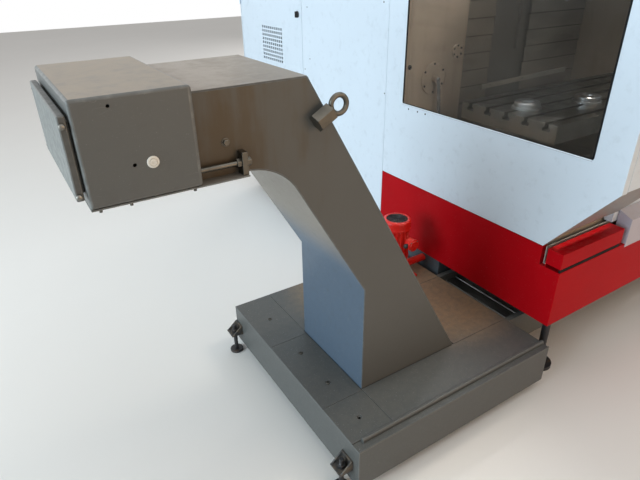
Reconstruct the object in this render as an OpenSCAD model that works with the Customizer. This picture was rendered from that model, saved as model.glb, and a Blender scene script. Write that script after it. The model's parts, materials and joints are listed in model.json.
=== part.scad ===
// Vertical machining center with a chip conveyor and coolant tank docked at its left side.
// X runs from the window side to the right, Y from the hood's front to the back, Z up from the floor.

/* [Enclosure] */
// Width across the front
machine_w = 2200; // [2100:10:2600]
// Depth from the hood's front face to the back
machine_d = 2660; // [2600:10:3000]
// Height of the roof above the floor
machine_h = 2350; // [2350:10:2600]
// Thickness of the sheet steel
sheet = 3; // [2:0.5:4]
// Depth of the folded edge round a panel
fold = 28; // [20:1:35]
// Gap between two neighbouring panels
seam = 2; // [1:0.5:4]
// Length of the side panel that holds the window
wing_len = 1140; // [1120:10:1300]
// Length of the plain panel behind it
mid_len = 740; // [600:10:760]
// Height of the lower edge of the side and rear panels behind the skirt
panel_low = 130; // [100:5:200]

/* [Side window] */
// Distance of the window from the hood's front
window_y = 116; // [80:2:150]
// Length of the window along the side
window_len = 900; // [700:10:920]
// Height of the window's lower edge
window_z = 922; // [900:2:1000]
// Height of the window opening
window_h = 800; // [600:10:900]
// Thickness of the window glass
glass_t = 6; // [4:1:10]
// Width of the rubber lip that the glass overlaps
glass_lap = 18; // [10:1:24]

/* [Red base] */
// Height of the skirt's lower edge
skirt_z = 262; // [240:2:280]
// Height of the skirt's upper edge at the side
apron_z = 566; // [540:2:600]
// Height of the ledge at the front of the base
ledge_z = 492; // [470:2:500]
// How far the base stands back from the hood's front
base_set = 134; // [120:2:150]
// How far the door rail stands back from the hood's front
rail_set = 212; // [205:1:216]
// Height at which the hood's underside starts at the front
chin_z = 840; // [800:5:900]
// Length of the ledge box beside the sill
ledge_box_len = 370; // [300:5:378]
// Depth of the ledge box
ledge_box_d = 62; // [40:1:64]
// Height of the dark gap under the ledge box
ledge_gap = 15; // [8:1:20]

/* [Front] */
// Width of the fixed front to the left of the door opening
pillar_w = 380; // [380:5:440]
// Width of the door opening
door_open_w = 910; // [700:10:920]
// Height of the door opening's top
door_top = 1900; // [1800:10:2000]
// Overlap of the door behind the hood at each side
door_lap = 10; // [6:1:20]
// Thickness of the sliding door
door_t = 34; // [25:1:34]
// Travel of the sliding door
door_travel = 840; // [600:10:840]
// Width of the operator console
console_w = 560; // [400:10:560]
// Height of the operator console
console_h = 600; // [500:10:700]
// Depth of the operator console
console_t = 88; // [60:2:100]

/* [Electrical cabinet] */
// Depth of the cabinet into the machine
cabinet_d = 440; // [300:10:520]
// Rows of square holes in the cabinet's grille
vent_rows = 9; // [5:1:10]
// Columns of square holes in the cabinet's grille
vent_cols = 10; // [5:1:12]
// Side of one square hole
vent_hole = 14; // [8:1:16]
// Distance between holes along the door
vent_pitch_y = 26; // [20:1:30]
// Distance between holes up the door
vent_pitch_z = 22.5; // [18:0.5:26]

/* [Work area] */
// Height of the table's top
table_z = 900; // [880:5:905]
// Length of the table
table_l = 1200; // [1000:10:1200]
// Width of the table
table_w = 500; // [400:10:500]
// Thickness of the table
table_t = 75; // [60:1:90]
// Width of the neck of a table slot
slot_w = 18; // [12:1:22]
// Distance between table slots
slot_pitch = 100; // [80:1:100]
// Distance of the spindle nose below the roof at rest
nose_drop = 790; // [750:5:800]
// Radius of the spindle nose
nose_r = 60; // [50:1:64]
// Radius of the spindle's socket
socket_r = 22.2; // [15:0.1:25]
// Depth of the spindle's socket
socket_depth = 90; // [60:1:110]
// Running clearance between sliding and turning parts
run_gap = 0.3; // [0.2:0.05:0.5]
// Radial clearance of a shaft in its bore
shaft_gap = 0.05; // [0.02:0.01:0.08]
// Number of tools in the magazine disc
tool_count = 16; // [8:1:18]
// Radius of the magazine disc
disc_r = 240; // [220:2:240]

/* [Coolant tank] */
// Gap between the tank and the machine's side
tank_gap = 17; // [5:1:40]
// Length of the tank away from the machine
tank_l = 873; // [820:1:950]
// Width of the tank along the machine
tank_w = 885; // [840:1:950]
// Distance of the tank from the hood's front
tank_y = 97; // [60:1:130]
// Height of the tank's top
tank_z = 200; // [196:1:204]
// Height of the tank's floor above the ground
tank_low = 40; // [30:1:60]
// Thickness of the tank's cover plates
cover_t = 5; // [3:0.5:8]
// Gap between two cover plates
cover_gap = 1.5; // [1:0.5:3]
// Radius of a levelling pad
pad_r = 27; // [20:1:30]

/* [Chip conveyor] */
// Width of the conveyor's casing
casing_w = 376; // [340:2:400]
// Distance of the casing from the hood's front
casing_y = 306; // [300:1:330]
// Length of the casing where it meets the tank
casing_foot = 420; // [400:2:440]
// Distance of the casing's foot from the machine's side
casing_set = 309; // [300:1:330]
// Slope of the rising stretch in degrees
rise = 60; // [58:0.5:62]
// Height of the arm's top above the tank
arm_top = 1047; // [1000:5:1080]
// Depth of the level arm
arm_depth = 193; // [185:1:200]
// Height of the upright plate at the casing's front
upright_h = 397; // [380:1:410]
// Radius of the bend under the arm
throat_r = 150; // [100:5:180]
// Length of the casing from its foot to the drive head
arm_reach = 888; // [860:2:920]
// Length of the drive head
head_l = 229; // [210:1:240]
// Width of the drive head
head_w = 440; // [430:2:460]
// How far the head's top stands above the arm
head_rise = 23; // [15:1:30]
// Pitch of the belt's hinges
belt_pitch = 63; // [50:1:80]
// Radius of a hinge knuckle
knuckle_r = 6; // [5:0.5:7]
// Number of hinges from one cleat to the next
cleat_every = 8; // [4:1:12]
// Height of a cleat
cleat_h = 24; // [15:1:28]
// Distance of the belt from the casing's top and bottom sheets
belt_inset = 45; // [40:1:50]
// Distance of the lifting eye from the arm's top edge
eye_drop = 96; // [80:1:200]
// Width of the hexagon nut that holds the lifting eye
eye_nut = 42; // [36:1:50]
// Radius of the lifting eye's ring
eye_r = 22; // [20:1:30]
// Radius of the conveyor's shafts
shaft_r = 18; // [14:1:22]
// Length of the trough under the machine
trough_l = 1790; // [1600:10:1900]

/* [Coolant pump] */
// Distance of the pump's axis from the machine's side
pump_x = 170; // [140:1:210]
// Distance of the pump's axis from the hood's front
pump_y = 816; // [800:1:860]
// Radius of the pump's fan cover
pump_r = 62; // [50:1:66]
// Height of the pump above the tank
pump_h = 286; // [250:1:320]

/* [Hidden] */
$fn = 48;

// Heights and places that follow from the driving sizes
wing_end = wing_len - seam / 2;
mid_start = wing_len + seam / 2;
mid_end = wing_len + mid_len - seam / 2;
door_y0 = mid_end + seam;
door_y1 = machine_d - 13;
hinge_y = machine_d - 10;
hinge_x = -5;
panel_top = machine_h - seam;
roof_t = 26;
open_x0 = pillar_w;
open_x1 = pillar_w + door_open_w;
door_y = rail_set - 24;
door_z0 = apron_z + 6;
hood_t = 130;
hood_x = fold + seam;
panel_end = panel_top - roof_t;
spindle_x = machine_w / 2;
spindle_y = 680;
guard_y = 1100;
slat_y = 1380;
column_y = 1400;
bay_x0 = 435;
lining_top = panel_end - 122;
nose_z = machine_h - nose_drop;
way_z = table_z - 280;
bed_z = way_z - 60;
column_top = panel_end - 172;
trough_y0 = casing_y;
trough_y1 = casing_y + casing_w;
tank_x1 = -tank_gap;
tank_x0 = tank_x1 - tank_l;
tank_y1 = tank_y + tank_w;
foot_x1 = -casing_set;
foot_x0 = foot_x1 - casing_foot;
arm_z = tank_z + arm_top;
arm_low = arm_z - arm_depth;
back_x = foot_x1 - arm_top / tan(rise);
head_x1 = foot_x1 - arm_reach;
head_x0 = head_x1 - head_l;
head_z1 = arm_z + head_rise;
head_z0 = arm_low + sheet;
head_y0 = casing_y + casing_w / 2 - head_w / 2;
head_y1 = head_y0 + head_w;
lid_set = 5;
lid_t = 15;
min_x = head_x0 - lid_set - lid_t;
knob_reach = 26;
min_y = -console_t - 12 - knob_reach;
centre_x = (min_x + machine_w) / 2;
centre_y = (min_y + machine_d) / 2;

white = "#e6e8ea";
red = "#a01622";
gray = "#6f7070";
steel = "#b9bcbe";
dark = "#26282a";
cast = "#8d9698";

module in_place() {
    translate([-centre_x, -centre_y, 0]) children();
}

module block(x0, x1, y0, y1, z0, z1) {
    translate([x0, y0, z0]) cube([x1 - x0, y1 - y0, z1 - z0]);
}

// A profile drawn in Y and Z, carried along X
module along_x(x0, x1) {
    translate([x0, 0, 0]) rotate([90, 0, 90]) linear_extrude(height = x1 - x0) children();
}

// A profile drawn in X and Z, carried along Y
module along_y(y0, y1) {
    translate([0, y1, 0]) rotate([90, 0, 0]) linear_extrude(height = y1 - y0) children();
}

module rod_x(x0, x1, y, z, r) {
    translate([x0, y, z]) rotate([0, 90, 0]) cylinder(h = x1 - x0, r = r);
}

module rod_y(y0, y1, x, z, r) {
    translate([x, y0, z]) rotate([-90, 0, 0]) cylinder(h = y1 - y0, r = r);
}

module rod_z(z0, z1, x, y, r) {
    translate([x, y, z0]) cylinder(h = z1 - z0, r = r);
}

// A hexagon nut or boss standing on Z
module hex_z(z0, z1, x, y, across) {
    translate([x, y, z0]) cylinder(h = z1 - z0, r = across / sqrt(3), $fn = 6);
}

function unit(v) = v / norm(v);
function left_of(v) = [-v[1], v[0]];
function mitre(a, b) = (a + b) / (1 + a * b);

// The points of an open path moved sideways by d, to the left of its direction
function beside(p, d) = [for (i = [0:len(p) - 1])
    let (a = left_of(unit(p[max(i, 1)] - p[max(i, 1) - 1])),
         b = left_of(unit(p[min(i + 1, len(p) - 1)] - p[min(i, len(p) - 2)])))
    p[i] + d * mitre(a, b)];

// The points of a closed outline, drawn anticlockwise, moved inwards by d
function inset(p, d) = [for (i = [0:len(p) - 1])
    let (n = len(p),
         a = left_of(unit(p[i] - p[(i + n - 1) % n])),
         b = left_of(unit(p[(i + 1) % n] - p[i])))
    p[i] + d * mitre(a, b)];

function reversed(p) = [for (i = [len(p) - 1:-1:0]) p[i]];
function arc(c, r, a0, a1, n) = [for (i = [0:n])
    let (a = a0 + (a1 - a0) * i / n)
    c + r * [cos(a), sin(a)]];

// A sheet of thickness t bent along an open path, lying to the left of it
module bent(p, t) {
    polygon(concat(p, reversed(beside(p, t))));
}

module rect(a0, a1, b0, b1) {
    translate([a0, b0]) square([a1 - a0, b1 - b0]);
}

function box_outline(a0, a1, b0, b1) = [[a0, b0], [a1, b0], [a1, b1], [a0, b1]];

// A folded side panel whose outside lies at X = 0
module side_skin(outline) {
    along_x(0, sheet) difference() {
        polygon(outline);
        children();
    }
    along_x(sheet / 2, fold) difference() {
        polygon(outline);
        polygon(inset(outline, sheet));
    }
}

// Frame, skirt and sill
frame_x = 6;
frame_y0 = base_set + 36;
frame_y1 = machine_d - 20;
frame_step = 711;
frame_z0 = 60;
frame_z1 = skirt_z - 40;
bed_y1 = 2300;

module base_frame() {
    color(cast) in_place() {
        rail = [[frame_y0, frame_z1], [frame_step, frame_z1], [frame_step, frame_z0], [frame_y1, frame_z0],
            [frame_y1, skirt_z], [frame_y0, skirt_z]];
        for (side = [0, 1]) translate([side * machine_w, 0, 0]) mirror([side, 0, 0]) {
            along_x(60, 126) polygon(rail);
            block(frame_x, 61, frame_step, wing_end, frame_z0, skirt_z);
            block(fold + seam, 61, wing_end - 1, frame_y1, frame_z0, skirt_z);
        }
        for (y = [frame_step, bed_y1 - 70, frame_y1 - 100])
            block(125, machine_w - 125, y, y + 100, frame_z0, skirt_z);
        block(125, machine_w - 125, frame_y0, frame_y0 + 60, frame_z1, skirt_z);
    }
}

module machine_foot(x, y, top) {
    rod_z(0, 16, x, y, 50);
    rod_z(15, top, x, y, 15);
    hex_z(16, 34, x, y, 46);
}

module machine_feet() {
    color(dark) in_place() for (x = [93, machine_w - 93]) {
        machine_foot(x, frame_y0 + 20, frame_z1);
        for (y = [wing_len - 140, wing_len + mid_len - 160, machine_d - 180]) machine_foot(x, y, frame_z0);
    }
}

module red_skirt() {
    apron = [[base_set, skirt_z], [wing_end, skirt_z], [wing_end, apron_z], [rail_set + 7, apron_z],
        [rail_set + 7, ledge_z], [base_set, ledge_z]];
    front = [[base_set + 26, skirt_z], [base_set, skirt_z], [base_set, ledge_z], [rail_set + 7, ledge_z]];
    color(red) in_place() {
        for (side = [0, 1]) translate([side * machine_w, 0, 0]) mirror([side, 0, 0]) {
            along_x(0, sheet) polygon(apron);
            along_x(sheet / 2, fold) difference() {
                polygon(apron);
                polygon(inset(apron, sheet));
            }
        }
        along_x(sheet / 2, machine_w - sheet / 2) bent(reversed(front), sheet);
    }
}

module ledge_box() {
    top = apron_z + 2;
    skin = [[base_set, ledge_z + ledge_gap], [base_set, top], [base_set + ledge_box_d, top],
        [base_set + ledge_box_d, ledge_z]];
    solid = [[base_set, ledge_z + ledge_gap], [base_set + ledge_box_d, ledge_z + ledge_gap],
        [base_set + ledge_box_d, top], [base_set, top]];
    along_x(0, ledge_box_len) bent(reversed(skin), sheet);
    along_x(0, sheet) polygon(solid);
    along_x(ledge_box_len - sheet, ledge_box_len) polygon(solid);
}

module ledge_boxes() {
    color(red) in_place() {
        ledge_box();
        translate([machine_w, 0, 0]) mirror([1, 0, 0]) ledge_box();
    }
}

module front_sill() {
    y0 = base_set - sheet - 1;
    face = [[y0, ledge_z - 12], [y0, ledge_z + 104], [door_y - 2, ledge_z + 128]];
    x0 = ledge_box_len + 30;
    color(white) in_place() {
        along_x(x0, machine_w - x0) bent(face, -sheet);
        block(x0, machine_w - x0, base_set - 2, door_y - 2, ledge_z, ledge_z + sheet);
        for (x = [x0, machine_w - x0 - sheet])
            along_x(x, x + sheet) polygon([[y0, ledge_z], [door_y - 2, ledge_z], face[2], face[1]]);
    }
}

module door_rail() {
    low = [[rail_set - 12, ledge_z + 4], [rail_set, ledge_z + 4], [rail_set, apron_z]];
    back = door_y + door_t + 2.5;
    high = [[hood_t - 30, door_top + sheet], [back, door_top + sheet], [back, door_top - 20]];
    color(steel) in_place() {
        difference() {
            along_x(12, machine_w - 12) bent(low, 4);
            for (x = [30, 330, 630, machine_w - 30]) rod_y(rail_set - 10, rail_set + 10, x, apron_z - 18, 5);
        }
        for (x = [20, machine_w - 60]) block(x, x + 40, rail_set - 12, rail_set, ledge_z, ledge_z + 5);
        along_x(12, door_x1 + door_travel + 20) bent(high, 4);
    }
}

// White panels
wing_outline = [[0, chin_z], [rail_set + 7, apron_z + seam], [wing_end, apron_z + seam],
    [wing_end, panel_end], [0, panel_end]];

module window_panel() {
    color(white) in_place() side_skin(wing_outline)
        rect(window_y, window_y + window_len, window_z, window_z + window_h);
}

module window_glass() {
    x = sheet;
    color([0.2, 0.2, 0.2, 0.5]) in_place()
        block(x, x + glass_t, window_y - glass_lap, window_y + window_len + glass_lap,
            window_z - glass_lap, window_z + window_h + glass_lap);
}

module middle_panel() {
    color(white) in_place()
        side_skin(box_outline(mid_start, mid_end, panel_low, panel_end));
}

module right_panel() {
    color(white) in_place() translate([machine_w, 0, 0]) mirror([1, 0, 0]) {
        side_skin(wing_outline);
        side_skin(box_outline(mid_start, mid_end, panel_low, panel_end));
        side_skin(box_outline(mid_end + seam, machine_d - sheet - seam, panel_low, panel_end));
    }
}

module rear_panel() {
    lip = sheet;
    color(white) in_place() difference() {
        block(0, machine_w, hinge_y + 1, machine_d, panel_low, panel_end);
        block(sheet, machine_w - sheet - fold, hinge_y, machine_d - lip, panel_low + lip,
            panel_end - lip);
        block(machine_w - sheet - fold - 1, machine_w + 1, hinge_y, machine_d - lip, panel_low - 1, panel_top);
        for (x = [500:60:machine_w - 500]) block(x, x + 30, machine_d - 10, machine_d + 1, 1700, 1712);
    }
    color(white) in_place() for (z = hinge_zs) {
        knuckle(z, z + 40, 5);
        knuckle(z + 39, z + 80, 2.5);
        block(hinge_x - 2, 1, hinge_y + 1, hinge_y + 8, z, z + 40);
        block(hinge_x - 2, hinge_x + 2, hinge_y, hinge_y + 2, z, z + 40);
    }
}

module roof_panel() {
    z0 = panel_end;
    color(white) in_place() {
        difference() {
            block(0, machine_w, 0, machine_d, z0, machine_h);
            block(sheet, machine_w - sheet, sheet, machine_d - sheet, z0 - 1, machine_h - sheet);
        }
        for (y = [600, 1300, 2000]) along_x(60, machine_w - 60)
            polygon([[y, machine_h - sheet / 2], [y + 8, z0], [y + 52, z0], [y + 60, machine_h - sheet / 2]]);
    }
}

// Height of the hood's sloping underside at a distance y from its front
function chin_at(y) = chin_z + 4 - y * (chin_z - apron_z - seam) / (rail_set + 7);

module front_hood() {
    chin = [[door_y - 8, chin_at(door_y - 8)], [0, chin_at(0)], [0, door_top + 2]];
    head = [[hood_t, door_top], [0, door_top], [0, panel_end]];
    color(white) in_place() {
        for (x = [[hood_x, open_x0], [open_x1, machine_w - hood_x]])
            along_x(x[0], x[1]) bent(chin, -sheet);
        for (x = [open_x0 - sheet, open_x1]) along_x(x, x + sheet)
            polygon([chin[1], chin[0], [door_y - 8, door_top + 2], chin[2]]);
        along_x(hood_x, machine_w - hood_x) bent(head, -sheet);
        console_bracket();
    }
}

// Electrical cabinet
module knuckle(z0, z1, r) {
    rod_z(z0, z1, hinge_x, hinge_y, r);
}

hinge_low = panel_low + 290;
hinge_high = panel_end - 262;
hinge_zs = [hinge_low, (hinge_low + hinge_high) / 2, hinge_high];

module cabinet_shell() {
    x0 = fold + 2;
    color(white) in_place() {
        difference() {
            block(x0, x0 + cabinet_d, door_y0 + 4, hinge_y - 3, skirt_z, panel_end);
            block(x0 - 1, x0 + cabinet_d - sheet, door_y0 + 4 + sheet, hinge_y - 3 - sheet,
                skirt_z + sheet, panel_end - sheet);
        }
    }
}

module drive_plate() {
    x1 = fold + 2 + cabinet_d - sheet;
    x0 = x1 - 200;
    low = skirt_z + 38;
    bay_y0 = door_y0 + 70;
    bay_y1 = hinge_y - 109;
    step = (bay_y1 - bay_y0 + 40) / 3;
    small = (bay_y1 - bay_y0 + 30) / 10;
    color(steel) in_place() {
        block(x1 - 4, x1, door_y0 + 40, hinge_y - 40, low, lining_top);
        for (z = [low + 200, low + 600, low + 1000]) for (i = [0:2])
            block(x0, x1 - 4, bay_y0 + i * step, bay_y0 + (i + 1) * step - 40, z, z + 320);
        for (i = [0:9]) block(x1 - 90, x1 - 4, bay_y0 + i * small, bay_y0 + (i + 1) * small - 8,
            lining_top - 450, lining_top - 350);
        for (z = [low + 140, low + 550, low + 950, lining_top - 520, lining_top - 270])
            block(x1 - 64, x1 - 4, door_y0 + 60, hinge_y - 60, z, z + 40);
    }
}

vent_y = door_y0 + 233;
vent_z = 942;
lock_y = door_y0 + 42;
lock_z = 1223;

module cabinet_door() {
    color(white) in_place() {
        difference() {
            side_skin(box_outline(door_y0, door_y1, panel_low + 2, panel_end - 2))
                union() {
                    for (i = [0:vent_cols - 1]) for (j = [0:vent_rows - 1])
                        rect(vent_y + i * vent_pitch_y, vent_y + i * vent_pitch_y + vent_hole,
                            vent_z + j * vent_pitch_z, vent_z + j * vent_pitch_z + vent_hole);
                }
            rod_x(-1, fold, lock_y, lock_z, 9 + shaft_gap);
        }
        for (z = hinge_zs) difference() {
            union() {
                knuckle(z + 41, z + 80, 5);
                block(hinge_x - 2, 1, door_y1 - 14, hinge_y, z + 41, z + 80);
            }
            knuckle(z + 38, z + 81, 2.5 + shaft_gap);
        }
    }
}

module cabinet_lock() {
    color(dark) in_place() {
        rod_x(-6, -run_gap, lock_y, lock_z, 17);
        rod_x(-7, 14, lock_y, lock_z, 9);
        block(-16, -5, lock_y - 4, lock_y + 4, lock_z - 15, lock_z + 15);
        block(8, 12, lock_y - 8, lock_y + 8, lock_z - 6, lock_z + 30);
    }
}

// Front door and console
door_x0 = open_x0 - door_lap;
door_x1 = open_x1 + door_lap;
door_z1 = door_top + sheet - 1;
pane_x0 = door_x0 + 180;
pane_x1 = door_x1 - 180;
pane_z0 = door_z0 + 420;
pane_z1 = door_z1 - 180;

module front_door() {
    color(white) in_place() {
        difference() {
            block(door_x0, door_x1, door_y, door_y + door_t, door_z0, door_z1);
            block(door_x0 + sheet, door_x1 - sheet, door_y + sheet, door_y + door_t + 1,
                door_z0 + sheet, door_z1 - sheet);
            block(pane_x0, pane_x1, door_y - 1, door_y + door_t, pane_z0, pane_z1);
        }
        block(door_x0 + 4, door_x1 - 4, rail_set - 5, rail_set + 1, apron_z + run_gap, door_z0 + 1);
        for (z = [pane_z0 - 120, pane_z0 + 260])
            block(door_x0 + 50, door_x0 + 66, door_y - 40, door_y + 1, z, z + 16);
        rod_z(pane_z0 - 140, pane_z0 + 300, door_x0 + 58, door_y - 40, 12);
    }
}

module door_glass() {
    color([0.3, 0.3, 0.3, 0.4]) in_place()
        block(pane_x0 - glass_lap, pane_x1 + glass_lap, door_y + sheet, door_y + sheet + glass_t,
            pane_z0 - glass_lap, pane_z1 + glass_lap);
}

console_x1 = machine_w - 140;
console_x0 = console_x1 - console_w;
console_z0 = 1080;
console_z1 = console_z0 + console_h;
console_y0 = -console_t - 12;
console_y1 = -12;
pivot_x = console_x1 + 26;
pivot_y = -50;
slope_z = console_z0 + 190;
knob_z = console_z0 + 90;
knob_x = console_x0 + 330;
start_x = console_x0 + 220;
stop_x = console_x0 + 100;

module console() {
    side = [[console_y0, console_z0], [console_y1, console_z0], [console_y1, console_z1],
        [console_y0 + 20, console_z1], [console_y0 + 20, slope_z + 24], [console_y0, slope_z]];
    color(gray) in_place() {
        difference() {
            union() {
                along_x(console_x0, console_x1) polygon(side);
                block(console_x1 - 1, pivot_x, pivot_y - 10, pivot_y + 10,
                    console_z0 + 250, console_z0 + 330);
                rod_z(console_z0 + 250, console_z0 + 330, pivot_x, pivot_y, 18);
            }
            block(console_x0 + 60, console_x1 - 60, console_y0 + 10, console_y0 + 26,
                slope_z + 60, console_z1 - 50);
            rod_z(console_z0 + 249, console_z0 + 331, pivot_x, pivot_y, 9 + shaft_gap);
            for (x = [stop_x, start_x, knob_x])
                rod_y(console_y0 - 1, console_y0 + 30, x, knob_z, 9 + shaft_gap);
        }
        for (i = [0:5]) for (j = [0:2]) block(console_x0 + 410 + i * 22, console_x0 + 426 + i * 22,
            console_y0 - 2, console_y0 + 1, console_z0 + 40 + j * 34, console_z0 + 60 + j * 34);
    }
}

module console_screen() {
    color(dark) in_place()
        block(console_x0 + 60, console_x1 - 60, console_y0 + 18, console_y0 + 26,
            slope_z + 60, console_z1 - 50);
}

module push_button(x, r, reach) {
    rod_y(console_y0 - reach, console_y0 - reach + 14, x, knob_z, r);
    rod_y(console_y0 - reach + 10, console_y0 + 22, x, knob_z, 9);
}

module stop_button() {
    color("#c01818") in_place() push_button(stop_x, 20, 24);
}

module start_button() {
    color("#2f8f4e") in_place() push_button(start_x, 13, 20);
}

module feed_knob() {
    color(dark) in_place() {
        push_button(knob_x, 18, 20);
        block(knob_x - 2, knob_x + 2, console_y0 - knob_reach, console_y0 - 18, knob_z - 16, knob_z + 16);
    }
}

// The bracket that carries the console belongs to the hood
module console_bracket() {
    for (z = [console_z0 + 228, console_z0 + 331]) {
        block(pivot_x - 14, pivot_x + 14, pivot_y, 1, z, z + 21);
        rod_z(z, z + 21, pivot_x, pivot_y, 18);
    }
    rod_z(console_z0 + 230, console_z0 + 350, pivot_x, pivot_y, 9);
}

// Inside of the work area
module work_lining() {
    pan_x = bed_x0 - 10;
    pan_z = bed_z - 60;
    wall_y = door_y + door_t + 8;
    color("#8c8579") in_place() {
        for (side = [0, 1]) translate([side * machine_w, 0, 0]) mirror([side, 0, 0]) {
            block(sheet, bay_x0, guard_y, guard_y + sheet, apron_z + 14, lining_top);
            block(bay_x0 - sheet, bay_x0, guard_y, slat_y + 14, pan_z, lining_top);
            along_y(wall_y, guard_y + 1) bent([[sheet, pan_z + 280], [pan_x, pan_z]], sheet);
        }
        block(hood_x, machine_w - hood_x, wall_y, wall_y + sheet, pan_z, door_z0 + 20);
        rod_y(guard_y - 5, guard_y + 1, 247, 987, 74);
        rod_y(guard_y - 5, guard_y + 1, 386, 1094, 33);
        rod_y(guard_y - 30, guard_y + 1, 250, 985, 16);
    }
}

slat_pitch = 90;

module slat_guard() {
    count = floor((rail_z + 30 - bed_z) / slat_pitch);
    edge = concat([for (i = [0:count - 1], s = [0, 1])
        [slat_y + (s == 0 ? 0 : 9), bed_z + 1 + (i + s) * slat_pitch]]);
    color("#5f625f") in_place() for (side = [0, 1])
        translate([side * machine_w, 0, 0]) mirror([side, 0, 0])
            along_x(bay_x0, spindle_x - 150) bent(edge, -2);
}

bed_x0 = 700;
way_y0 = 260;

module bed() {
    nose = [[frame_step, skirt_z], [bed_y1, skirt_z], [bed_y1, bed_z], [way_y0, bed_z], [way_y0, bed_z - 90],
        [frame_step, skirt_z + 68]];
    color(cast) in_place() {
        difference() {
            along_x(bed_x0, machine_w - bed_x0) polygon(nose);
            for (x = [spindle_x - 190, spindle_x + 40])
                block(x, x + 150, way_y0 - 1, slat_y - 80, bed_z - 60, bed_z + 1);
        }
        for (x = [spindle_x - 300, spindle_x + 200]) {
            block(x, x + 100, way_y0, slat_y - 10, bed_z - 1, way_z);
        }
    }
}

module column() {
    front = column_y + 20;
    side = [[front, bed_z], [column_y + 680, bed_z], [column_y + 500, column_top], [front, column_top]];
    color(cast) in_place() {
        difference() {
            along_x(spindle_x - 340, spindle_x + 340) polygon(side);
            along_x(spindle_x - 341, spindle_x + 341) polygon([[front + 120, bed_z + 240],
                [column_y + 500, bed_z + 240], [column_y + 400, bed_z + 900], [front + 120, bed_z + 900]]);
        }
        for (x = [spindle_x - 130, spindle_x + 90])
            block(x, x + 40, column_y, front + 1, table_z + 100, column_top - 10);
    }
}

module saddle() {
    z0 = way_z + run_gap;
    z1 = table_z - table_t - run_gap;
    color(cast) in_place() difference() {
        along_y(table_mid - 220, table_mid + 220) polygon([[spindle_x - 350, z0], [spindle_x + 350, z0],
            [spindle_x + 350, z0 + 70], [spindle_x + 300, z1], [spindle_x - 300, z1],
            [spindle_x - 350, z0 + 70]]);
        along_x(spindle_x - 351, spindle_x + 351) rect(table_mid - 100, table_mid + 100, z1 - 60, z1 + 1);
    }
}

table_x0 = spindle_x - 800;
table_mid = 700;
table_y0 = table_mid - table_w / 2;

module table() {
    color(steel) in_place() difference() {
        block(table_x0, table_x0 + table_l, table_y0, table_y0 + table_w, table_z - table_t, table_z);
        for (y = [for (i = [-2:2]) table_mid + i * slot_pitch])
            along_x(table_x0 - 1, table_x0 + table_l + 1) {
                rect(y - slot_w / 2, y + slot_w / 2, table_z - 32, table_z + 1);
                rect(y - slot_w, y + slot_w, table_z - 32, table_z - 18);
            }
    }
}

module fixture(x, y) {
    translate([x, y, table_z]) rotate_extrude()
        polygon([[12, 0], [62, 0], [62, 8], [55, 10], [55, 26], [50, 31], [26, 31], [26, 22], [12, 22]]);
}

module table_fixtures() {
    color(steel) in_place() {
        fixture(430, 700);
        fixture(741, 620);
    }
}

head_x = 140;
head_z = nose_z + 80;
head_top = panel_end - 182;

module headstock() {
    side = [[spindle_y - 120, head_z + 60], [spindle_y - 60, head_z], [spindle_y + 80, head_z],
        [spindle_y + 200, head_z + 150], [column_y - run_gap, head_z + 150], [column_y - run_gap, head_top],
        [spindle_y - 40, head_top], [spindle_y - 120, head_top - 80]];
    color(cast) in_place() {
        difference() {
            union() {
                along_x(spindle_x - head_x, spindle_x + head_x) polygon(side);
                rod_z(head_z - 40, head_z + 1, spindle_x, spindle_y, nose_r + 20);
            }
            rod_z(head_z - 41, head_z + 200, spindle_x, spindle_y, nose_r + shaft_gap);
        }
        rod_z(head_top - 1, panel_end - 42, spindle_x, spindle_y + 40, 95);
    }
}

module spindle() {
    color(steel) in_place() difference() {
        rod_z(nose_z, head_z + 190, spindle_x, spindle_y, nose_r);
        rod_z(nose_z - 1, nose_z + socket_depth, spindle_x, spindle_y, socket_r);
        for (s = [-1, 1]) block(spindle_x + s * 42 - 8, spindle_x + s * 42 + 8, spindle_y - 9, spindle_y + 9,
            nose_z - 1, nose_z + 12);
    }
}

// Tool magazine
disc_x = spindle_x - 630;
pocket_r = disc_r - 25;
disc_z = nose_z - 130;
rail_z = nose_z + 200;

module magazine_beam() {
    color(gray) in_place() {
        block(150, spindle_x - 150, spindle_y - 90, spindle_y + 90, rail_z + 36, rail_z + 90);
        block(spindle_x - 400, spindle_x - 170, spindle_y + 89, column_y + 20, rail_z + 36, rail_z + 90);
        block(spindle_x - 340, spindle_x - 170, column_y - 60, column_y + 20, rail_z + 36, rail_z + 200);
        for (s = [-1, 1]) rod_x(152, spindle_x - 152, spindle_y + s * 60, rail_z + 14, 12);
        for (x = [152, spindle_x - 170]) for (s = [-1, 1])
            block(x, x + 18, spindle_y + s * 60 - 12, spindle_y + s * 60 + 12, rail_z + 14, rail_z + 37);
    }
}

module magazine_carriage() {
    color(steel) in_place() difference() {
        union() {
            block(disc_x - 40, disc_x + 40, spindle_y - 85, spindle_y + 85, rail_z - 12, rail_z + 30);
            rod_z(disc_z + 60, rail_z - 11, disc_x, spindle_y, 48);
            rod_z(disc_z - 30, disc_z + 61, disc_x, spindle_y, 20);
            rod_z(disc_z - 40, disc_z - 6 - run_gap, disc_x, spindle_y, 34);
        }
        for (s = [-1, 1]) rod_x(disc_x - 61, disc_x + 61, spindle_y + s * 60, rail_z + 14, 12 + shaft_gap);
    }
}

module tool_disc() {
    color(gray) in_place() difference() {
        union() {
            rod_z(disc_z, disc_z + 20, disc_x, spindle_y, disc_r);
            rod_z(disc_z - 6, disc_z + 50, disc_x, spindle_y, 60);
        }
        rod_z(disc_z - 7, disc_z + 51, disc_x, spindle_y, 20 + shaft_gap);
        for (i = [0:tool_count - 1]) translate([disc_x, spindle_y, disc_z - 1]) rotate(i * 360 / tool_count)
            translate([pocket_r, 0, 0]) {
                cylinder(h = 30, r = 25);
                translate([0, -20, 0]) cube([40, 40, 30]);
            }
    }
}

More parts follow.
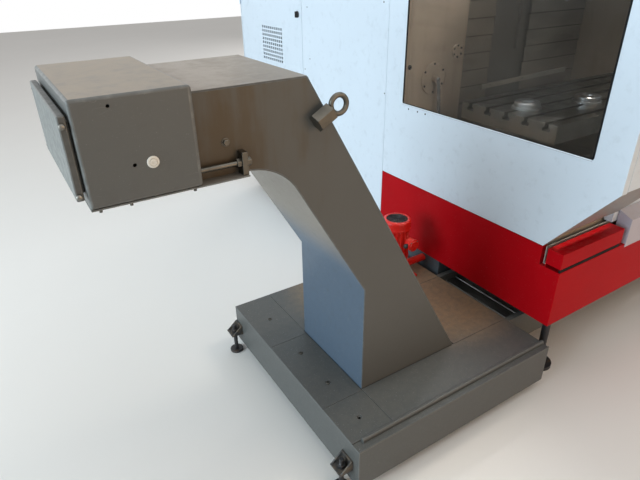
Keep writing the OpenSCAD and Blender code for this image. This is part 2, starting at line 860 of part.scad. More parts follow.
module tool_holders() {
    color(steel) in_place() for (i = [1:tool_count - 1])
        translate([disc_x, spindle_y, disc_z]) rotate(i * 360 / tool_count) translate([pocket_r, 0, 0]) {
            rotate_extrude() polygon([[0, -8], [0, -90], [6, -90], [6, -62], [20, -60], [20, -20], [30, -18],
                [30, 0], [25 - run_gap, 0], [25 - run_gap, 20], [20, 22], [11, 66],
                [0, 66]]);
        }
}

// Coolant tank
tank_lip = 22;

module tank() {
    z1 = tank_z - cover_t;
    color(gray) in_place() {
        difference() {
            block(tank_x0, tank_x1, tank_y, tank_y1, tank_low, z1);
            block(tank_x0 + sheet, tank_x1 - sheet, tank_y + sheet, tank_y1 - sheet,
                tank_low + sheet, z1 - sheet);
            block(tank_x0 + tank_lip, tank_x1 - tank_lip, tank_y + 2 * tank_lip, tank_y1 - tank_lip,
                z1 - sheet - 1, z1 + 1);
            block(tank_x1 - sheet - 1, tank_x1 + 1, trough_y0, trough_y1, tank_low + sheet, z1 - sheet);
        }
        for (y = [casing_y - 2, casing_y + casing_w - 3])
            block(tank_x0 + sheet - 0.5, tank_x1 - sheet + 0.5, y, y + 5, tank_low + sheet - 0.5, z1);
    }
}

module cover_plate(x0, x1, y0, y1) {
    block(x0, x1, y0, y1, tank_z - cover_t, tank_z);
}

strip_y1 = 300;
strip_y2 = 664;
screw_x = foot_x0 - 80;

module tank_covers() {
    g = cover_gap / 2;
    edge_y = tank_y + 38;
    color(gray) in_place() difference() {
        union() {
            cover_plate(tank_x0, foot_x0 - g - 2, edge_y, strip_y1 - g);
            cover_plate(tank_x0, foot_x0 - g - 2, strip_y1 + g, strip_y2 - g);
            cover_plate(tank_x0, foot_x0 - g - 2, strip_y2 + g, tank_y1);
            cover_plate(foot_x0 + g - 2, tank_x1, edge_y, casing_y - g - 2);
            cover_plate(foot_x0 + g - 2, tank_x1, casing_y + casing_w + g + 2, tank_y1);
            cover_plate(foot_x1 + g + 8, tank_x1, casing_y + g - 2, casing_y + casing_w - g + 2);
        }
        for (y = [208, 392, 575, 823]) {
            rod_z(tank_z - cover_t - 1, tank_z + 1, screw_x, y, 4.5);
            rod_z(tank_z - 3, tank_z + 1, screw_x, y, 9);
        }
        rod_z(tank_z - cover_t - 1, tank_z + 1, -pump_x, pump_y, 44);
    }
}

module tank_rail() {
    y = tank_y + 30;
    z = tank_z - cover_t;
    bar = concat([[y + 7, z + 1]], arc([y, z + 9], 7, 0, 180, 12), [[y - 7, z + 1]]);
    gutter = [[tank_y, z], [y + 7.5, z], [y + 7.5, z + 2], [tank_y + 4, z + 2],
        [tank_y + 4, tank_z], [tank_y, tank_z]];
    color(gray) in_place() {
        along_x(tank_x0, tank_x1) polygon(gutter);
        along_x(tank_x0 + 32, tank_x1 - 2) polygon(bar);
    }
}

bracket_w = 56;
bracket_x = 24;
bracket_z = 92;
bracket_ys = [tank_y + 58, tank_y1 - 28];

module tank_brackets() {
    shelf = [[tank_x0, bracket_z + 40], [tank_x0, bracket_z], [tank_x0 - 48, bracket_z]];
    color(gray) in_place() for (y = bracket_ys) difference() {
        union() {
            along_y(y - bracket_w / 2, y + bracket_w / 2) bent(shelf, -6);
            for (s = [-1, 1]) along_y(y + s * (bracket_w / 2 - 2.5) - 2.5, y + s * (bracket_w / 2 - 2.5) + 2.5)
                polygon([[tank_x0 - 5, bracket_z], [tank_x0 - 5, bracket_z + 40],
                    [tank_x0 - 46, bracket_z + 5]]);
        }
        rod_z(bracket_z - 10, bracket_z + 10, tank_x0 - bracket_x, y, 8 + shaft_gap);
    }
}

module levelling_screw(x, y, top) {
    rod_z(0, 10, x, y, pad_r);
    rod_z(9, top, x, y, 8);
}

module tank_feet() {
    color(dark) in_place() {
        for (y = bracket_ys) {
            levelling_screw(tank_x0 - bracket_x, y, bracket_z + 40);
            hex_z(bracket_z - 14, bracket_z, tank_x0 - bracket_x, y, 24);
            hex_z(bracket_z + 6, bracket_z + 19, tank_x0 - bracket_x, y, 24);
        }
        for (y = bracket_ys) levelling_screw(tank_x1 - 60, y, tank_low);
        levelling_screw(trough_l - 90, trough_y0 + 60, tank_low);
        levelling_screw(trough_l - 90, trough_y1 - 60, tank_low);
    }
}

tail_x = trough_l - 80;
belt_low = tank_low + 35;
tail_r = 45;
tail_z = belt_low + tail_r;

module chip_trough() {
    z1 = tank_z - cover_t;
    color(gray) in_place() difference() {
        union() {
            along_x(tank_x1, trough_l) bent([[trough_y0 - 20, z1], [trough_y0, z1], [trough_y0, tank_low],
                [trough_y1, tank_low], [trough_y1, z1], [trough_y1 + 20, z1]], sheet);
            block(trough_l - sheet, trough_l, trough_y0 + 1, trough_y1 - 1, tank_low + 1, z1);
        }
        rod_y(trough_y0 - 10, trough_y1 + 10, tail_x, tail_z, shaft_r + shaft_gap);
    }
}

// Conveyor casing
foot_z = tank_z - cover_t;
upright_z = tank_z + upright_h;
throat_x = foot_x0 - (arm_low - upright_z) / tan(rise);
throat_c = [throat_x - throat_r * tan(rise / 2), arm_low - throat_r];
shelf_x = head_x1 + 112;
throat_path = concat([[foot_x0, foot_z], [foot_x0, upright_z]],
    arc(throat_c, throat_r, 90 - rise, 90, 10), [[shelf_x, arm_low]]);
back_path = [[foot_x1 + cover_t / tan(rise), foot_z], [back_x, arm_z]];
inner_x = head_x0 + 32;
chute_y = 70;

module side_plate() {
    polygon(concat(beside(throat_path, -sheet), [[head_x1, arm_low + sheet], [head_x1, head_z0 + sheet],
        [inner_x, head_z0 + sheet], [inner_x, arm_z], [back_x, arm_z], back_path[0]]));
}

drive_x = inner_x + 78;
drive_r = (arm_depth - 2 * belt_inset + 3) / 2;
drive_z = arm_low + belt_inset + drive_r;

module casing_side(y, guide_y) {
    color(gray) in_place() {
        difference() {
            along_y(y, y + sheet) side_plate();
            rod_y(y - 1, y + sheet + 1, drive_x, drive_z, shaft_r + shaft_gap);
        }
        for (run = guide_runs) along_y(guide_y, guide_y + guide_w)
            bent(beside(run, knuckle_r + run_gap), guide_t);
    }
}

module side_plate_near() {
    casing_side(casing_y, casing_y + sheet - 0.5);
}

module side_plate_far() {
    casing_side(casing_y + casing_w - sheet, casing_y + casing_w - sheet - guide_w + 0.5);
}

// The opening in the head's floor through which the chips drop
module chute(z) {
    block(head_x0 + 40, drive_x + 20, casing_y + chute_y, casing_y + casing_w - chute_y, z - 1, z + sheet + 1);
}

module throat_plate() {
    color(gray) in_place() {
        along_y(casing_y, casing_y + casing_w) bent(throat_path, -sheet);
        difference() {
            block(head_x0, shelf_x, head_y0, head_y1, arm_low, arm_low + sheet);
            chute(arm_low);
        }
    }
}

module back_cover() {
    color(gray) in_place() along_y(casing_y, casing_y + casing_w)
        bent(back_path, -sheet);
}

module arm_lid() {
    x1 = back_x + sheet * tan(rise / 2);
    color(gray) in_place() {
        along_y(casing_y, casing_y + casing_w) polygon([[head_x1, arm_z], [back_x, arm_z],
            [x1, arm_z + sheet], [head_x1, arm_z + sheet]]);
    }
}

// Hinged steel belt, one closed loop of plates with a knuckle at every pitch
belt_high = tank_low + 125;
inward = [-sin(rise), -cos(rise)];
up_line = back_path[0] + belt_inset * inward;
down_line = [foot_x0, upright_z] - belt_inset * inward;
function on_rise(p, z) = [p[0] - (z - p[1]) / tan(rise), z];
top_z = drive_z + drive_r;
low_z = drive_z - drive_r;
belt_loop = concat([[tail_x, belt_high], on_rise(up_line, belt_high), on_rise(up_line, top_z)],
    arc([drive_x, drive_z], drive_r, 90, 270, 12),
    [on_rise(down_line, low_z), on_rise(down_line, belt_low)],
    arc([tail_x, tail_z], tail_r, -90, 90, 12));
// Straight guides inside the casing on which the belt's upper run slides
guide_w = 14;
guide_t = 5;
guide_bend = 70;
guide_runs = [[on_rise(up_line, foot_z + 20), on_rise(up_line, top_z - guide_bend)],
    [[on_rise(up_line, top_z)[0] - guide_bend, top_z], [drive_x + drive_r + 17, top_z]]];

function loop_len(p, n) = n == 0 ? 0 : norm(p[n] - p[n - 1]) + loop_len(p, n - 1);
belt_runs = [for (i = [0:len(belt_loop) - 1]) loop_len(belt_loop, i)];
belt_total = belt_runs[len(belt_runs) - 1];
function on_loop(s, i = 1) = s <= belt_runs[i] || i == len(belt_loop) - 1
    ? let (a = belt_loop[i - 1], u = unit(belt_loop[i] - a)) [a + u * (s - belt_runs[i - 1]), left_of(u)]
    : on_loop(s, i + 1);
belt_links = floor(belt_total / belt_pitch);
belt_step = belt_total / belt_links;

// One side of the belt: flat plates with a hump at each hinge; side -1 faces out of the loop
function belt_edge(side) = [for (i = [0:belt_links - 1], k = [0:5])
    let (hump = [-1, -0.7, -0.3, 0.3, 0.7, 1][k],
         tall = [0.25, 0.8, 1, 1, 0.8, 0.25][k],
         cleat = side < 0 && i % cleat_every == 0,
         at = on_loop((i + 0.5) * belt_step + hump * knuckle_r),
         lift = cleat && k > 1 && k < 4 ? cleat_h : tall * knuckle_r)
    at[0] + side * at[1] * lift];

module hinge_belt() {
    color(steel) in_place() along_y(casing_y + sheet + 4, casing_y + casing_w - sheet - 4) difference() {
        polygon(belt_edge(-1));
        polygon(belt_edge(1));
    }
}

// The outline of a toothed wheel with n teeth
function teeth(c, root, tip, n) = [for (i = [0:n - 1], k = [0:3])
    let (a = (i + [-0.34, -0.2, 0.2, 0.34][k]) * 360 / n,
         q = k == 0 || k == 3 ? root : tip)
    c + q * [cos(a), sin(a)]];

module sprocket(x, y, z, r) {
    tip = r - knuckle_r - 4;
    along_y(y, y + 10) polygon(teeth([x, z], tip - 7, tip, 8));
}

module conveyor_shaft(x, z, r, y0, y1) {
    rod_y(y0, y1, x, z, shaft_r);
    for (y = [casing_y + 40, casing_y + casing_w - 50]) sprocket(x, y, z, r);
}

module drive_shaft() {
    color(steel) in_place() conveyor_shaft(drive_x, drive_z, drive_r, casing_y - 6, head_y1 + 70);
}

module tail_shaft() {
    color(steel) in_place() conveyor_shaft(tail_x, tail_z, tail_r, trough_y0 - 8, trough_y1 + 8);
}

// Drive head
module head_box() {
    color(gray) in_place() {
        difference() {
            block(head_x0, head_x1, head_y0, head_y1, head_z0, head_z1);
            block(head_x0 + sheet, head_x1 - sheet, head_y0 + sheet, head_y1 - sheet,
                head_z0 + sheet, head_z1 - sheet);
            block(head_x1 - sheet - 1, head_x1 + 1, casing_y - 0.5, casing_y + casing_w + 0.5,
                head_z0 + sheet, arm_z + sheet + 0.5);
            chute(head_z0);
            rod_y(head_y1 - sheet - 1, head_y1 + 1, drive_x, drive_z, shaft_r + 3);
            rod_y(head_y0 - 1, head_y0 + sheet + 1, head_x0 + 97, plug_z, 4);
            rod_y(head_y0 - 1, head_y0 + sheet + 1, head_x0 + 69, head_z1 - 19, 3.5);
            rod_y(head_y0 - 1, head_y0 + sheet + 1, plug_x, plug_z, plug_r);
        }
    }
}

plug_x = head_x0 + 133;
plug_z = head_z0 + 74;
plug_r = 10;

module head_lid() {
    x0 = head_x0 - lid_set;
    color(gray) in_place() {
        block(x0, head_x0, head_y0 + 20, head_y1 - 50, head_z0 + 32, head_z1 - 39);
        block(x0 - lid_t, x0, head_y0 + 8, head_y1 - 38, head_z0 + 20, head_z1 - 27);
    }
}

module head_plug() {
    color("#e8e6dc") in_place() {
        rod_y(head_y0 - 4, head_y0, plug_x, plug_z, plug_r + 2.5);
        rod_y(head_y0 - 1, head_y0 + sheet, plug_x, plug_z, plug_r);
        rod_y(head_y0 - 6, head_y0 - 3, plug_x, plug_z, plug_r - 3);
    }
}

module take_up_rods() {
    rod_z0 = arm_low + 30;
    color(steel) in_place() for (s = [-1, 1]) {
        y = casing_y + casing_w / 2 + s * (casing_w / 2 + 13);
        difference() {
            block(shelf_x - 14, shelf_x, y - 13, y + 13, arm_low + sheet, arm_low + 56);
            rod_x(shelf_x - 15, shelf_x + 1, y, rod_z0, 6 + shaft_gap);
        }
        rod_x(head_x1, shelf_x + 12, y, rod_z0, 6);
        for (x = [shelf_x - 24, shelf_x]) translate([x, y, rod_z0]) rotate([0, 90, 0])
            cylinder(h = 10, r = 11, $fn = 6);
    }
}

module lifting_eye() {
    at = back_path[1] + eye_drop * unit(back_path[0] - back_path[1]);
    color(steel) in_place() translate([at[0], casing_y - eye_nut / 2, at[1]]) rotate([0, rise, 0]) {
        translate([0, 0, -44]) cylinder(h = 48, r = eye_nut / sqrt(3), $fn = 6);
        translate([0, 0, 3]) cylinder(h = 6, r = 13);
        translate([0, 0, 8 + eye_r]) rotate([90, 0, 0]) rotate_extrude() translate([eye_r, 0]) circle(r = 6.5);
    }
}

module gearmotor() {
    y0 = head_y1;
    color(gray) in_place() {
        difference() {
            block(drive_x - 50, drive_x + 50, y0, y0 + 92, drive_z - 52, drive_z + 48);
            rod_y(y0 - 1, y0 + 93, drive_x, drive_z, shaft_r + shaft_gap);
        }
        rod_x(drive_x + 49, drive_x + 230, y0 + 50, drive_z, 44);
        for (i = [0:9]) rod_x(drive_x + 75 + i * 15, drive_x + 79 + i * 15, y0 + 50, drive_z, 48);
    }
}

// Coolant pump
box_dx = 24;
box_seat = pump_r - 2;
box_z = tank_z + 182;

module pump_body() {
    z1 = tank_z + pump_h - 44;
    color(red) in_place() {
        translate([-pump_x, pump_y, 0]) {
            translate([-75, -75, tank_z]) cube([150, 150, 10]);
            translate([0, 0, tank_low + 30]) cylinder(h = tank_z - tank_low, r = 40);
            translate([0, 0, tank_z + 9]) cylinder(h = 92, r = 46);
            translate([0, 0, tank_z + 100]) cylinder(h = 12, r = pump_r - 2);
            translate([0, 0, tank_z + 111]) cylinder(h = z1 - tank_z - 111, r = pump_r - 10);
            for (i = [0:19]) rotate(i * 18) translate([pump_r - 14, -1.5, tank_z + 111])
                cube([10, 3, z1 - tank_z - 113]);
            translate([box_dx - 18, -box_seat, box_z - 18]) cube([36, box_seat, 36]);
        }
    }
    color(red) in_place() rod_x(-pump_x + 40, frame_x, pump_y, tank_z + 34, 17);
}

module pump_cowl() {
    z0 = tank_z + pump_h - 44;
    color(red) in_place() translate([-pump_x, pump_y, z0]) rotate_extrude()
        polygon(concat([[0, 0], [pump_r, 0]], arc([pump_r - 9, 35], 9, 0, 90, 6),
            [[pump_r - 14, 44], [pump_r - 16, 40], [0, 40]]));
}

module pump_terminal_box() {
    color(red) in_place() {
        rod_y(pump_y - box_seat - 34, pump_y - box_seat, box_dx - pump_x, box_z, 28);
        rod_y(pump_y - box_seat - 38, pump_y - box_seat - 33, box_dx - pump_x, box_z, 22);
    }
}

base_frame();
machine_feet();
red_skirt();
ledge_boxes();
front_sill();
door_rail();
window_panel();
window_glass();
middle_panel();
cabinet_shell();
drive_plate();
right_panel();
rear_panel();
roof_panel();
front_hood();
work_lining();
slat_guard();
bed();
column();
magazine_beam();
tank();
tank_covers();
tank_rail();
tank_brackets();
tank_feet();
chip_trough();
side_plate_near();
side_plate_far();
throat_plate();
back_cover();
arm_lid();
hinge_belt();
head_box();
head_lid();
head_plug();
take_up_rods();
lifting_eye();
gearmotor();
pump_body();
pump_cowl();
pump_terminal_box();
cabinet_door();
cabinet_lock();
front_door();
door_glass();
console();
console_screen();
stop_button();
start_button();
feed_knob();
saddle();
table();
table_fixtures();
headstock();
spindle();
magazine_carriage();
tool_disc();
tool_holders();
drive_shaft();
tail_shaft();
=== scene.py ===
"""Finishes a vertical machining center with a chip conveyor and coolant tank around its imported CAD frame.

Every length in the script is in metres in the frame's own axes, unless a name or comment says millimetres:
the function at() takes millimetres from the window side, the hood's front and the floor.
"""
import json
import math

import bmesh
import bpy
import numpy as np
from bpy.props import FloatProperty, FloatVectorProperty, PointerProperty
from mathutils import Euler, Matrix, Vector

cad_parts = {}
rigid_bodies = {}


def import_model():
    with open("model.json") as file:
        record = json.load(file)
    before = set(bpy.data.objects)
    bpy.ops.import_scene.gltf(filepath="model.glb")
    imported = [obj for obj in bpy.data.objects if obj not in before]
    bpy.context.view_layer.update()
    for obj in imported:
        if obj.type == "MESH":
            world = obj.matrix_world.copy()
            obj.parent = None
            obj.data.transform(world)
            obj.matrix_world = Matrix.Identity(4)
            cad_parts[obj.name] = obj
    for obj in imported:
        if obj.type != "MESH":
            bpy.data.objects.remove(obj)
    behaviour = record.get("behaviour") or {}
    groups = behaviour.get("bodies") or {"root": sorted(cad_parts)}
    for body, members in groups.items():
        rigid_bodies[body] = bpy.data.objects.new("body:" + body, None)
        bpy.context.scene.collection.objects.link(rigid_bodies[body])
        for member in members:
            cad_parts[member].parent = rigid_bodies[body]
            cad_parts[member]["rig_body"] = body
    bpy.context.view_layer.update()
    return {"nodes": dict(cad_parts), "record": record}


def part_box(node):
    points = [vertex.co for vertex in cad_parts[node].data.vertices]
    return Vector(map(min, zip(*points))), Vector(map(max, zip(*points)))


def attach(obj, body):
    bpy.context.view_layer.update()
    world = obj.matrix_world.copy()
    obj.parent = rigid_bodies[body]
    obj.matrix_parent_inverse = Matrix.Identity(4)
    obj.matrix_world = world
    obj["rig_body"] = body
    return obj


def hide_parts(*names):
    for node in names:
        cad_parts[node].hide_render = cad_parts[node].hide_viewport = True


bl_info = {
    "name": "Machining Center Finish",
    "version": (1, 0, 0),
    "blender": (4, 5, 0),
    "location": "View3D > Sidebar > Machining Center",
    "description": "Sheet metal, glass, fasteners, finishes and stage for a machining center",
    "category": "Object",
}

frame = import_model()
NODES = frame["nodes"]
SLOT_OF = {part["node"]: part["material_slot"] for part in frame["record"]["subparts"]}
MM = 0.001
LEFT, RIGHT, FRONT, REAR, DOWN, UP = (-1, 0, 0), (1, 0, 0), (0, -1, 0), (0, 1, 0), (0, 0, -1), (0, 0, 1)
SLOT_OF_COAT = {"rubber": "knob_black", "black_plastic": "knob_black", "panel_paint": "light_gray_panel",
                "key_gray": "console_gray", "hose_gray": "console_gray", "lining_sheet": "lining_beige",
                "rail_steel": "bright_steel", "bright_steel": "bright_steel", "lamp_tube": "plug_white",
                "dark_steel": "dark_steel"}
SLAT_PITCH = 90  # millimetres between the laps of the way guard
SLAT_COUNT = round((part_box("slat_guard")[1].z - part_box("slat_guard")[0].z) / (SLAT_PITCH * MM))
GLASS_LAP = 18  # millimetres of each glass pane that lie behind its panel
GUARD_WALL = 1095  # millimetres from the hood's front to the wall behind the tool magazine
KEY_RISE = 2  # millimetres that the console's keys and its display stand proud of the faces round them
ORIGIN = np.array([*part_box("window_panel")[0]]) * (1, 1, 0)


def at(x, y, z):
    """Row-frame points from millimetres measured from the window side, the hood's front and the floor."""
    return ORIGIN + np.stack(np.broadcast_arrays(x, y, z), -1).astype(float) * MM


def span(node):
    """A node's box in millimetres in the same measure: lowest corner, then highest corner."""
    low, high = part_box(node)
    return (np.array(low) - ORIGIN) / MM, (np.array(high) - ORIGIN) / MM


def colour_property(name, description, colour):
    """A linear RGB colour that the panel shows."""
    return FloatVectorProperty(name=name, description=description, default=colour, size=3,
                               min=0.0, max=1.0, subtype="COLOR")


def length_property(name, description, length):
    """A length in metres that the panel shows."""
    return FloatProperty(name=name, description=description, default=length, min=0.0, unit="LENGTH")


class FinishColours(bpy.types.PropertyGroup):
    """Colours of the paints, rubber and glass."""
    panel: colour_property("Panel paint", "Pale paint of the enclosure", (0.62, 0.69, 0.76))
    red: colour_property("Red paint", "Paint of the base", (0.40, 0.003, 0.007))
    gray: colour_property("Gray paint", "Paint of the tank and conveyor", (0.105, 0.108, 0.103))
    casting: colour_property("Casting paint", "Paint of the bed, column and head", (0.155, 0.152, 0.145))
    lining: colour_property("Lining", "Dusty sheet inside the work area", (0.44, 0.36, 0.28))
    console: colour_property("Console", "Paint of the operator console", (0.27, 0.28, 0.29))
    pump: colour_property("Pump red", "Paint of the coolant pump", (0.66, 0.018, 0.013))
    # The sill's colour is a darker, lilac copy of the pale panel paint: painted shade and cool window light
    sill: colour_property("Sill", "Paint of the front sill", (0.44, 0.42, 0.48))
    dust: colour_property("Dust", "Dry dust that lies on flat tops", (0.45, 0.37, 0.29))
    oil: colour_property("Oil", "Old oil that has run down the conveyor", (0.075, 0.048, 0.020))
    rubber: colour_property("Rubber", "Window gasket", (0.012, 0.012, 0.013))


class SheetSizes(bpy.types.PropertyGroup):
    """Radii of folded and machined edges."""
    fold_radius: length_property("Fold radius", "Rounding of the thin sheet's edges", 0.0013)
    skirt_radius: length_property("Skirt radius", "Rounding of the red base's edges", 0.0014)
    head_radius: length_property("Head radius", "Rounding of the drive head's outer folds", 0.006)
    slab_radius: length_property("Slab radius", "Rounding of thick lids and castings", 0.003)


class GasketSizes(bpy.types.PropertyGroup):
    """Section of the rubber gasket round the window."""
    lip: length_property("Lip", "How far the gasket overlaps the panel", 0.0012)
    inner: length_property("Inner lip", "How far the gasket overlaps the glass", 0.006)
    height: length_property("Height", "How far the gasket stands proud of the panel", 0.0012)
    corner: length_property("Corner", "Corner radius of the opening in the gasket", 0.0075)


class StageSizes(bpy.types.PropertyGroup):
    """Camera, lamps and floor."""
    camera_place: FloatVectorProperty(name="Camera place", description="Where the camera stands",
                                      default=(-1.913, -2.008, 1.480), subtype="TRANSLATION")
    camera_turn: FloatVectorProperty(name="Camera turn", description="Camera's rotation, X then Y then Z",
                                     default=tuple(math.radians(a) for a in (61.75675, 0.82340, -32.31852)),
                                     subtype="EULER")
    lens: FloatProperty(name="Lens", description="Focal length in millimetres", default=29.29, min=1.0)
    floor_half: length_property("Floor", "Half the floor's width", 14.0)
    ambient: FloatProperty(name="Ambient", description="Light from all round", default=0.36, min=0.0)
    floor: colour_property("Floor colour", "Pale floor", (0.80, 0.77, 0.73))


class MachiningCenterSettings(bpy.types.PropertyGroup):
    """Everything that the panel shows."""
    colours: PointerProperty(type=FinishColours)
    sheets: PointerProperty(type=SheetSizes)
    gasket: PointerProperty(type=GasketSizes)
    stage: PointerProperty(type=StageSizes)


def settings():
    """The values in the scene that the panel shows."""
    return bpy.context.scene.machining_center


class Value:
    """A number or colour socket. The arithmetic signs on it add Math nodes to its graph."""

    def __init__(self, graph, socket):
        self.graph, self.socket = graph, socket

    def maths(self, operation, *values):
        """Adds one Math node and gives its result."""
        return self.graph.node("ShaderNodeMath", {"operation": operation}, dict(enumerate(values)))

    def __add__(self, other):
        return self.maths("ADD", self, other)

    def __sub__(self, other):
        return self.maths("SUBTRACT", self, other)

    def __rsub__(self, other):
        return self.maths("SUBTRACT", other, self)

    def __mul__(self, other):
        return self.maths("MULTIPLY", self, other)

    def __abs__(self):
        return self.maths("ABSOLUTE", self)

    __radd__, __rmul__ = __add__, __mul__


class Graph:
    """A node tree and the one method that adds a node to it."""

    def __init__(self, tree):
        self.tree = tree

    def node(self, kind, choices=None, inputs=None, output=0):
        """Adds a node of that type: its settings first, then the values or links of its sockets."""
        made = self.tree.nodes.new(kind)
        for name, choice in (choices or {}).items():
            setattr(made, name, choice)
        for name, value in (inputs or {}).items():
            self.feed(made.inputs[name], value)
        return Value(self, made.outputs[output])

    def feed(self, socket, value):
        """Links a value or sets a constant on a socket."""
        if isinstance(value, Value):
            self.tree.links.new(value.socket, socket)
        elif isinstance(value, (int, float)):
            socket.default_value = value
        else:
            socket.default_value = (*value, 1.0)[:len(socket.default_value)]


class Finish(Graph):
    """A material under construction, with the few node recipes that the finishes share."""

    def __init__(self, name):
        self.material = bpy.data.materials.new(name)
        self.material.use_nodes = True
        super().__init__(self.material.node_tree)
        self.shader = self.tree.nodes["Principled BSDF"]
        self.coordinates = self.tree.nodes.new("ShaderNodeTexCoord")

    def place(self, stretch):
        """Object coordinates in metres, stretched."""
        point = Value(self, self.coordinates.outputs["Object"])
        return self.node("ShaderNodeMapping", {}, {"Vector": point, "Scale": stretch})

    def facing(self, axis):
        """How far the surface faces along X, Y or Z, from -1 to 1."""
        normal = Value(self, self.coordinates.outputs["Normal"])
        return self.node("ShaderNodeSeparateXYZ", {}, {0: normal}, axis)

    def along(self, axis):
        """The place along X, Y or Z in the row frame."""
        point = Value(self, self.coordinates.outputs["Object"])
        return self.node("ShaderNodeSeparateXYZ", {}, {0: point}, axis)

    def clouds(self, per_metre, detail=4, stretch=(1, 1, 1), rough=0.55):
        """Noise from 0 to 1 with that many cells in a metre."""
        return self.node("ShaderNodeTexNoise", {}, {"Vector": self.place(stretch), "Scale": per_metre,
                                                    "Detail": detail, "Roughness": rough})

    def cells(self, per_metre):
        """A flat colour of its own for each cell, with that many cells in a metre."""
        return self.node("ShaderNodeTexVoronoi", {"feature": "F1"},
                         {"Vector": self.place((1, 1, 1)), "Scale": per_metre}, 1)

    def step(self, value, low, high):
        """0 below low, 1 above high, and a smooth rise between."""
        return self.node("ShaderNodeMapRange", {"interpolation_type": "SMOOTHSTEP"},
                         {"Value": value, "From Min": low, "From Max": high})

    def top(self):
        """1 where the surface faces up, 0 where it doesn't."""
        return self.step(self.facing(2), 0.5, 0.95)

    def mix(self, factor, a, b):
        """A colour that goes from a to b as factor goes from 0 to 1."""
        return self.node("ShaderNodeMix", {"data_type": "RGBA", "blend_type": "MIX", "clamp_factor": True},
                         {0: factor, 6: a, 7: b}, 2)

    def shades(self, factor, colour, low, high):
        """A colour that goes from low times it to high times it as factor goes from 0 to 1."""
        return self.mix(factor, times(colour, low), times(colour, high))

    def pale_specks(self, up):
        """Sparse specks that lie closest where the surface faces up."""
        return self.step(self.clouds(290, 2), 0.675, 0.71) * (up * 0.7 + 0.3)

    def scratches(self, per_metre, stretch):
        """Sparse thin lines: the middle level of a stretched noise, kept only inside a patchy mask."""
        line = 1 - self.step(abs(self.clouds(per_metre, 1, stretch) - 0.5), 0.0, 0.012)
        return line * self.step(self.clouds(per_metre * 0.6, 3), 0.55, 0.68)

    def relief(self, height):
        """Tips the normal by a height pattern in millimetres."""
        bump = self.node("ShaderNodeBump", {}, {"Height": height, "Distance": MM, "Strength": 1.0})
        self.feed(self.shader.inputs["Normal"], bump)

    def set(self, colour, roughness, gloss=0.5, **inputs):
        """Sets sockets of the main shader, the rarer ones by name: Metallic=..., Coat_Weight=... and so on."""
        inputs.update(Base_Color=colour, Roughness=roughness, Specular_IOR_Level=gloss)
        for name, value in inputs.items():
            self.feed(self.shader.inputs[name.replace("_", " ")], value)
        return self.material


def times(colour, factor):
    """A colour made darker or lighter by a factor, no brighter than white."""
    return [min(1.0, c * factor) for c in colour]


def faded(colour):
    """A colour as dry specks show it."""
    return [0.6 * c + 0.28 for c in colour]


FINISHES = {}


def finish(name):
    """The material of that name, made on first use by its own recipe or from its row in a table."""
    if name not in FINISHES:
        if name in PAINTS:
            colour, roughness, choices = PAINTS[name]
            colour = getattr(settings().colours, colour) if isinstance(colour, str) else colour
            FINISHES[name] = paint(name, colour, roughness, **choices)
        elif name in STEELS:
            FINISHES[name] = steel(name, *STEELS[name])
        elif name in PLASTICS:
            FINISHES[name] = plastic(name, *PLASTICS[name])
        else:
            FINISHES[name] = RECIPES[name](name)
    return FINISHES[name]


def paint(name, colour, roughness, dust=0.35, mottle=0.16, specks=0.5, peel=0.00015, wave=0.0012,
          chips=0.0, coat=0.0, gloss=0.4, high_dust=0.0, under=0.0):
    """Sprayed enamel on sheet: cloudy colour, dust on what faces up, specks, fine scratches, orange peel and the
    slow waves of thin sheet. If asked, more dust above a metre, painted shade on what faces down, chips to the
    steel."""
    f = Finish(name)
    broad = f.clouds(2.1, 4)
    fine = f.clouds(31, 6)
    shade = f.shades(broad, colour, 1 - mottle, 1 + mottle)
    shade = f.mix(f.step(fine, 0.52, 0.80) * 0.35, shade, times(colour, 0.72))
    up = f.top()
    blend = broad * 0.5 + fine * 0.5
    settled = high_dust * f.step(f.along(2), 1.0, 1.2) * f.step(blend, 0.05, 0.50)
    film = up * (dust * f.step(blend, 0.34, 0.66) + settled)
    shade = f.mix(film, shade, settings().colours.dust)
    shade = f.mix(f.pale_specks(up) * specks, shade, faded(colour))
    line = f.scratches(24, (1, 9, 2)) * 0.5
    shade = f.mix(line * 0.4, shade, [0.5 * c + 0.3 for c in colour])
    # under: faces that look down get a dark gray mixed in, painted shade
    if under:
        painted_underside_shade = (1 - f.step(f.facing(2), -0.45, -0.30)) * (0.82 + 0.3 * broad) * under
        shade = f.mix(painted_underside_shade, shade, (0.14, 0.13, 0.112))
    rough = roughness + 0.22 * film + 0.10 * (fine - 0.5) + 0.12 * line
    metal = 0.0
    if chips:
        chip = f.step(f.clouds(70, 5, rough=0.7), 0.74 - chips, 0.755 - chips)
        shade = f.mix(chip, shade, (0.30, 0.29, 0.27))
        metal = chip * 0.6
    f.relief(f.clouds(5, 2) * (wave / MM) + f.clouds(700, 1) * (peel / MM) + fine * 0.03)
    return f.set(shade, rough, gloss, Metallic=metal, Coat_Weight=coat, Coat_Roughness=0.08)


def red_paint(name):
    """Red enamel with a faint pale pink mixed in that grows toward the rear."""
    f = Finish(name)
    tint = settings().colours
    broad = f.clouds(3.4, 5)
    fine = f.clouds(46, 6)
    # A faint pale pink that grows toward the rear, and rougher where it lies
    rear_pink_tint = f.step(broad * 0.7 + fine * 0.3 + 0.25 * (f.along(1) + 0.6), 0.42, 0.78) * 0.02
    up = f.top()
    shade = f.shades(broad, tint.red, 0.8, 1.18)
    shade = f.mix(rear_pink_tint, shade, (0.56, 0.16, 0.17))
    shade = f.mix(up * f.step(fine, 0.4, 0.7) * 0.05, shade, tint.dust)
    shade = f.mix(f.step(f.clouds(240, 2), 0.69, 0.73) * 0.2, shade, (0.55, 0.40, 0.36))
    f.relief(f.clouds(5, 2) * 0.9 + f.clouds(600, 1) * 0.15)
    return f.set(shade, 0.30 + 0.9 * rear_pink_tint + 0.06 * fine, 0.035)


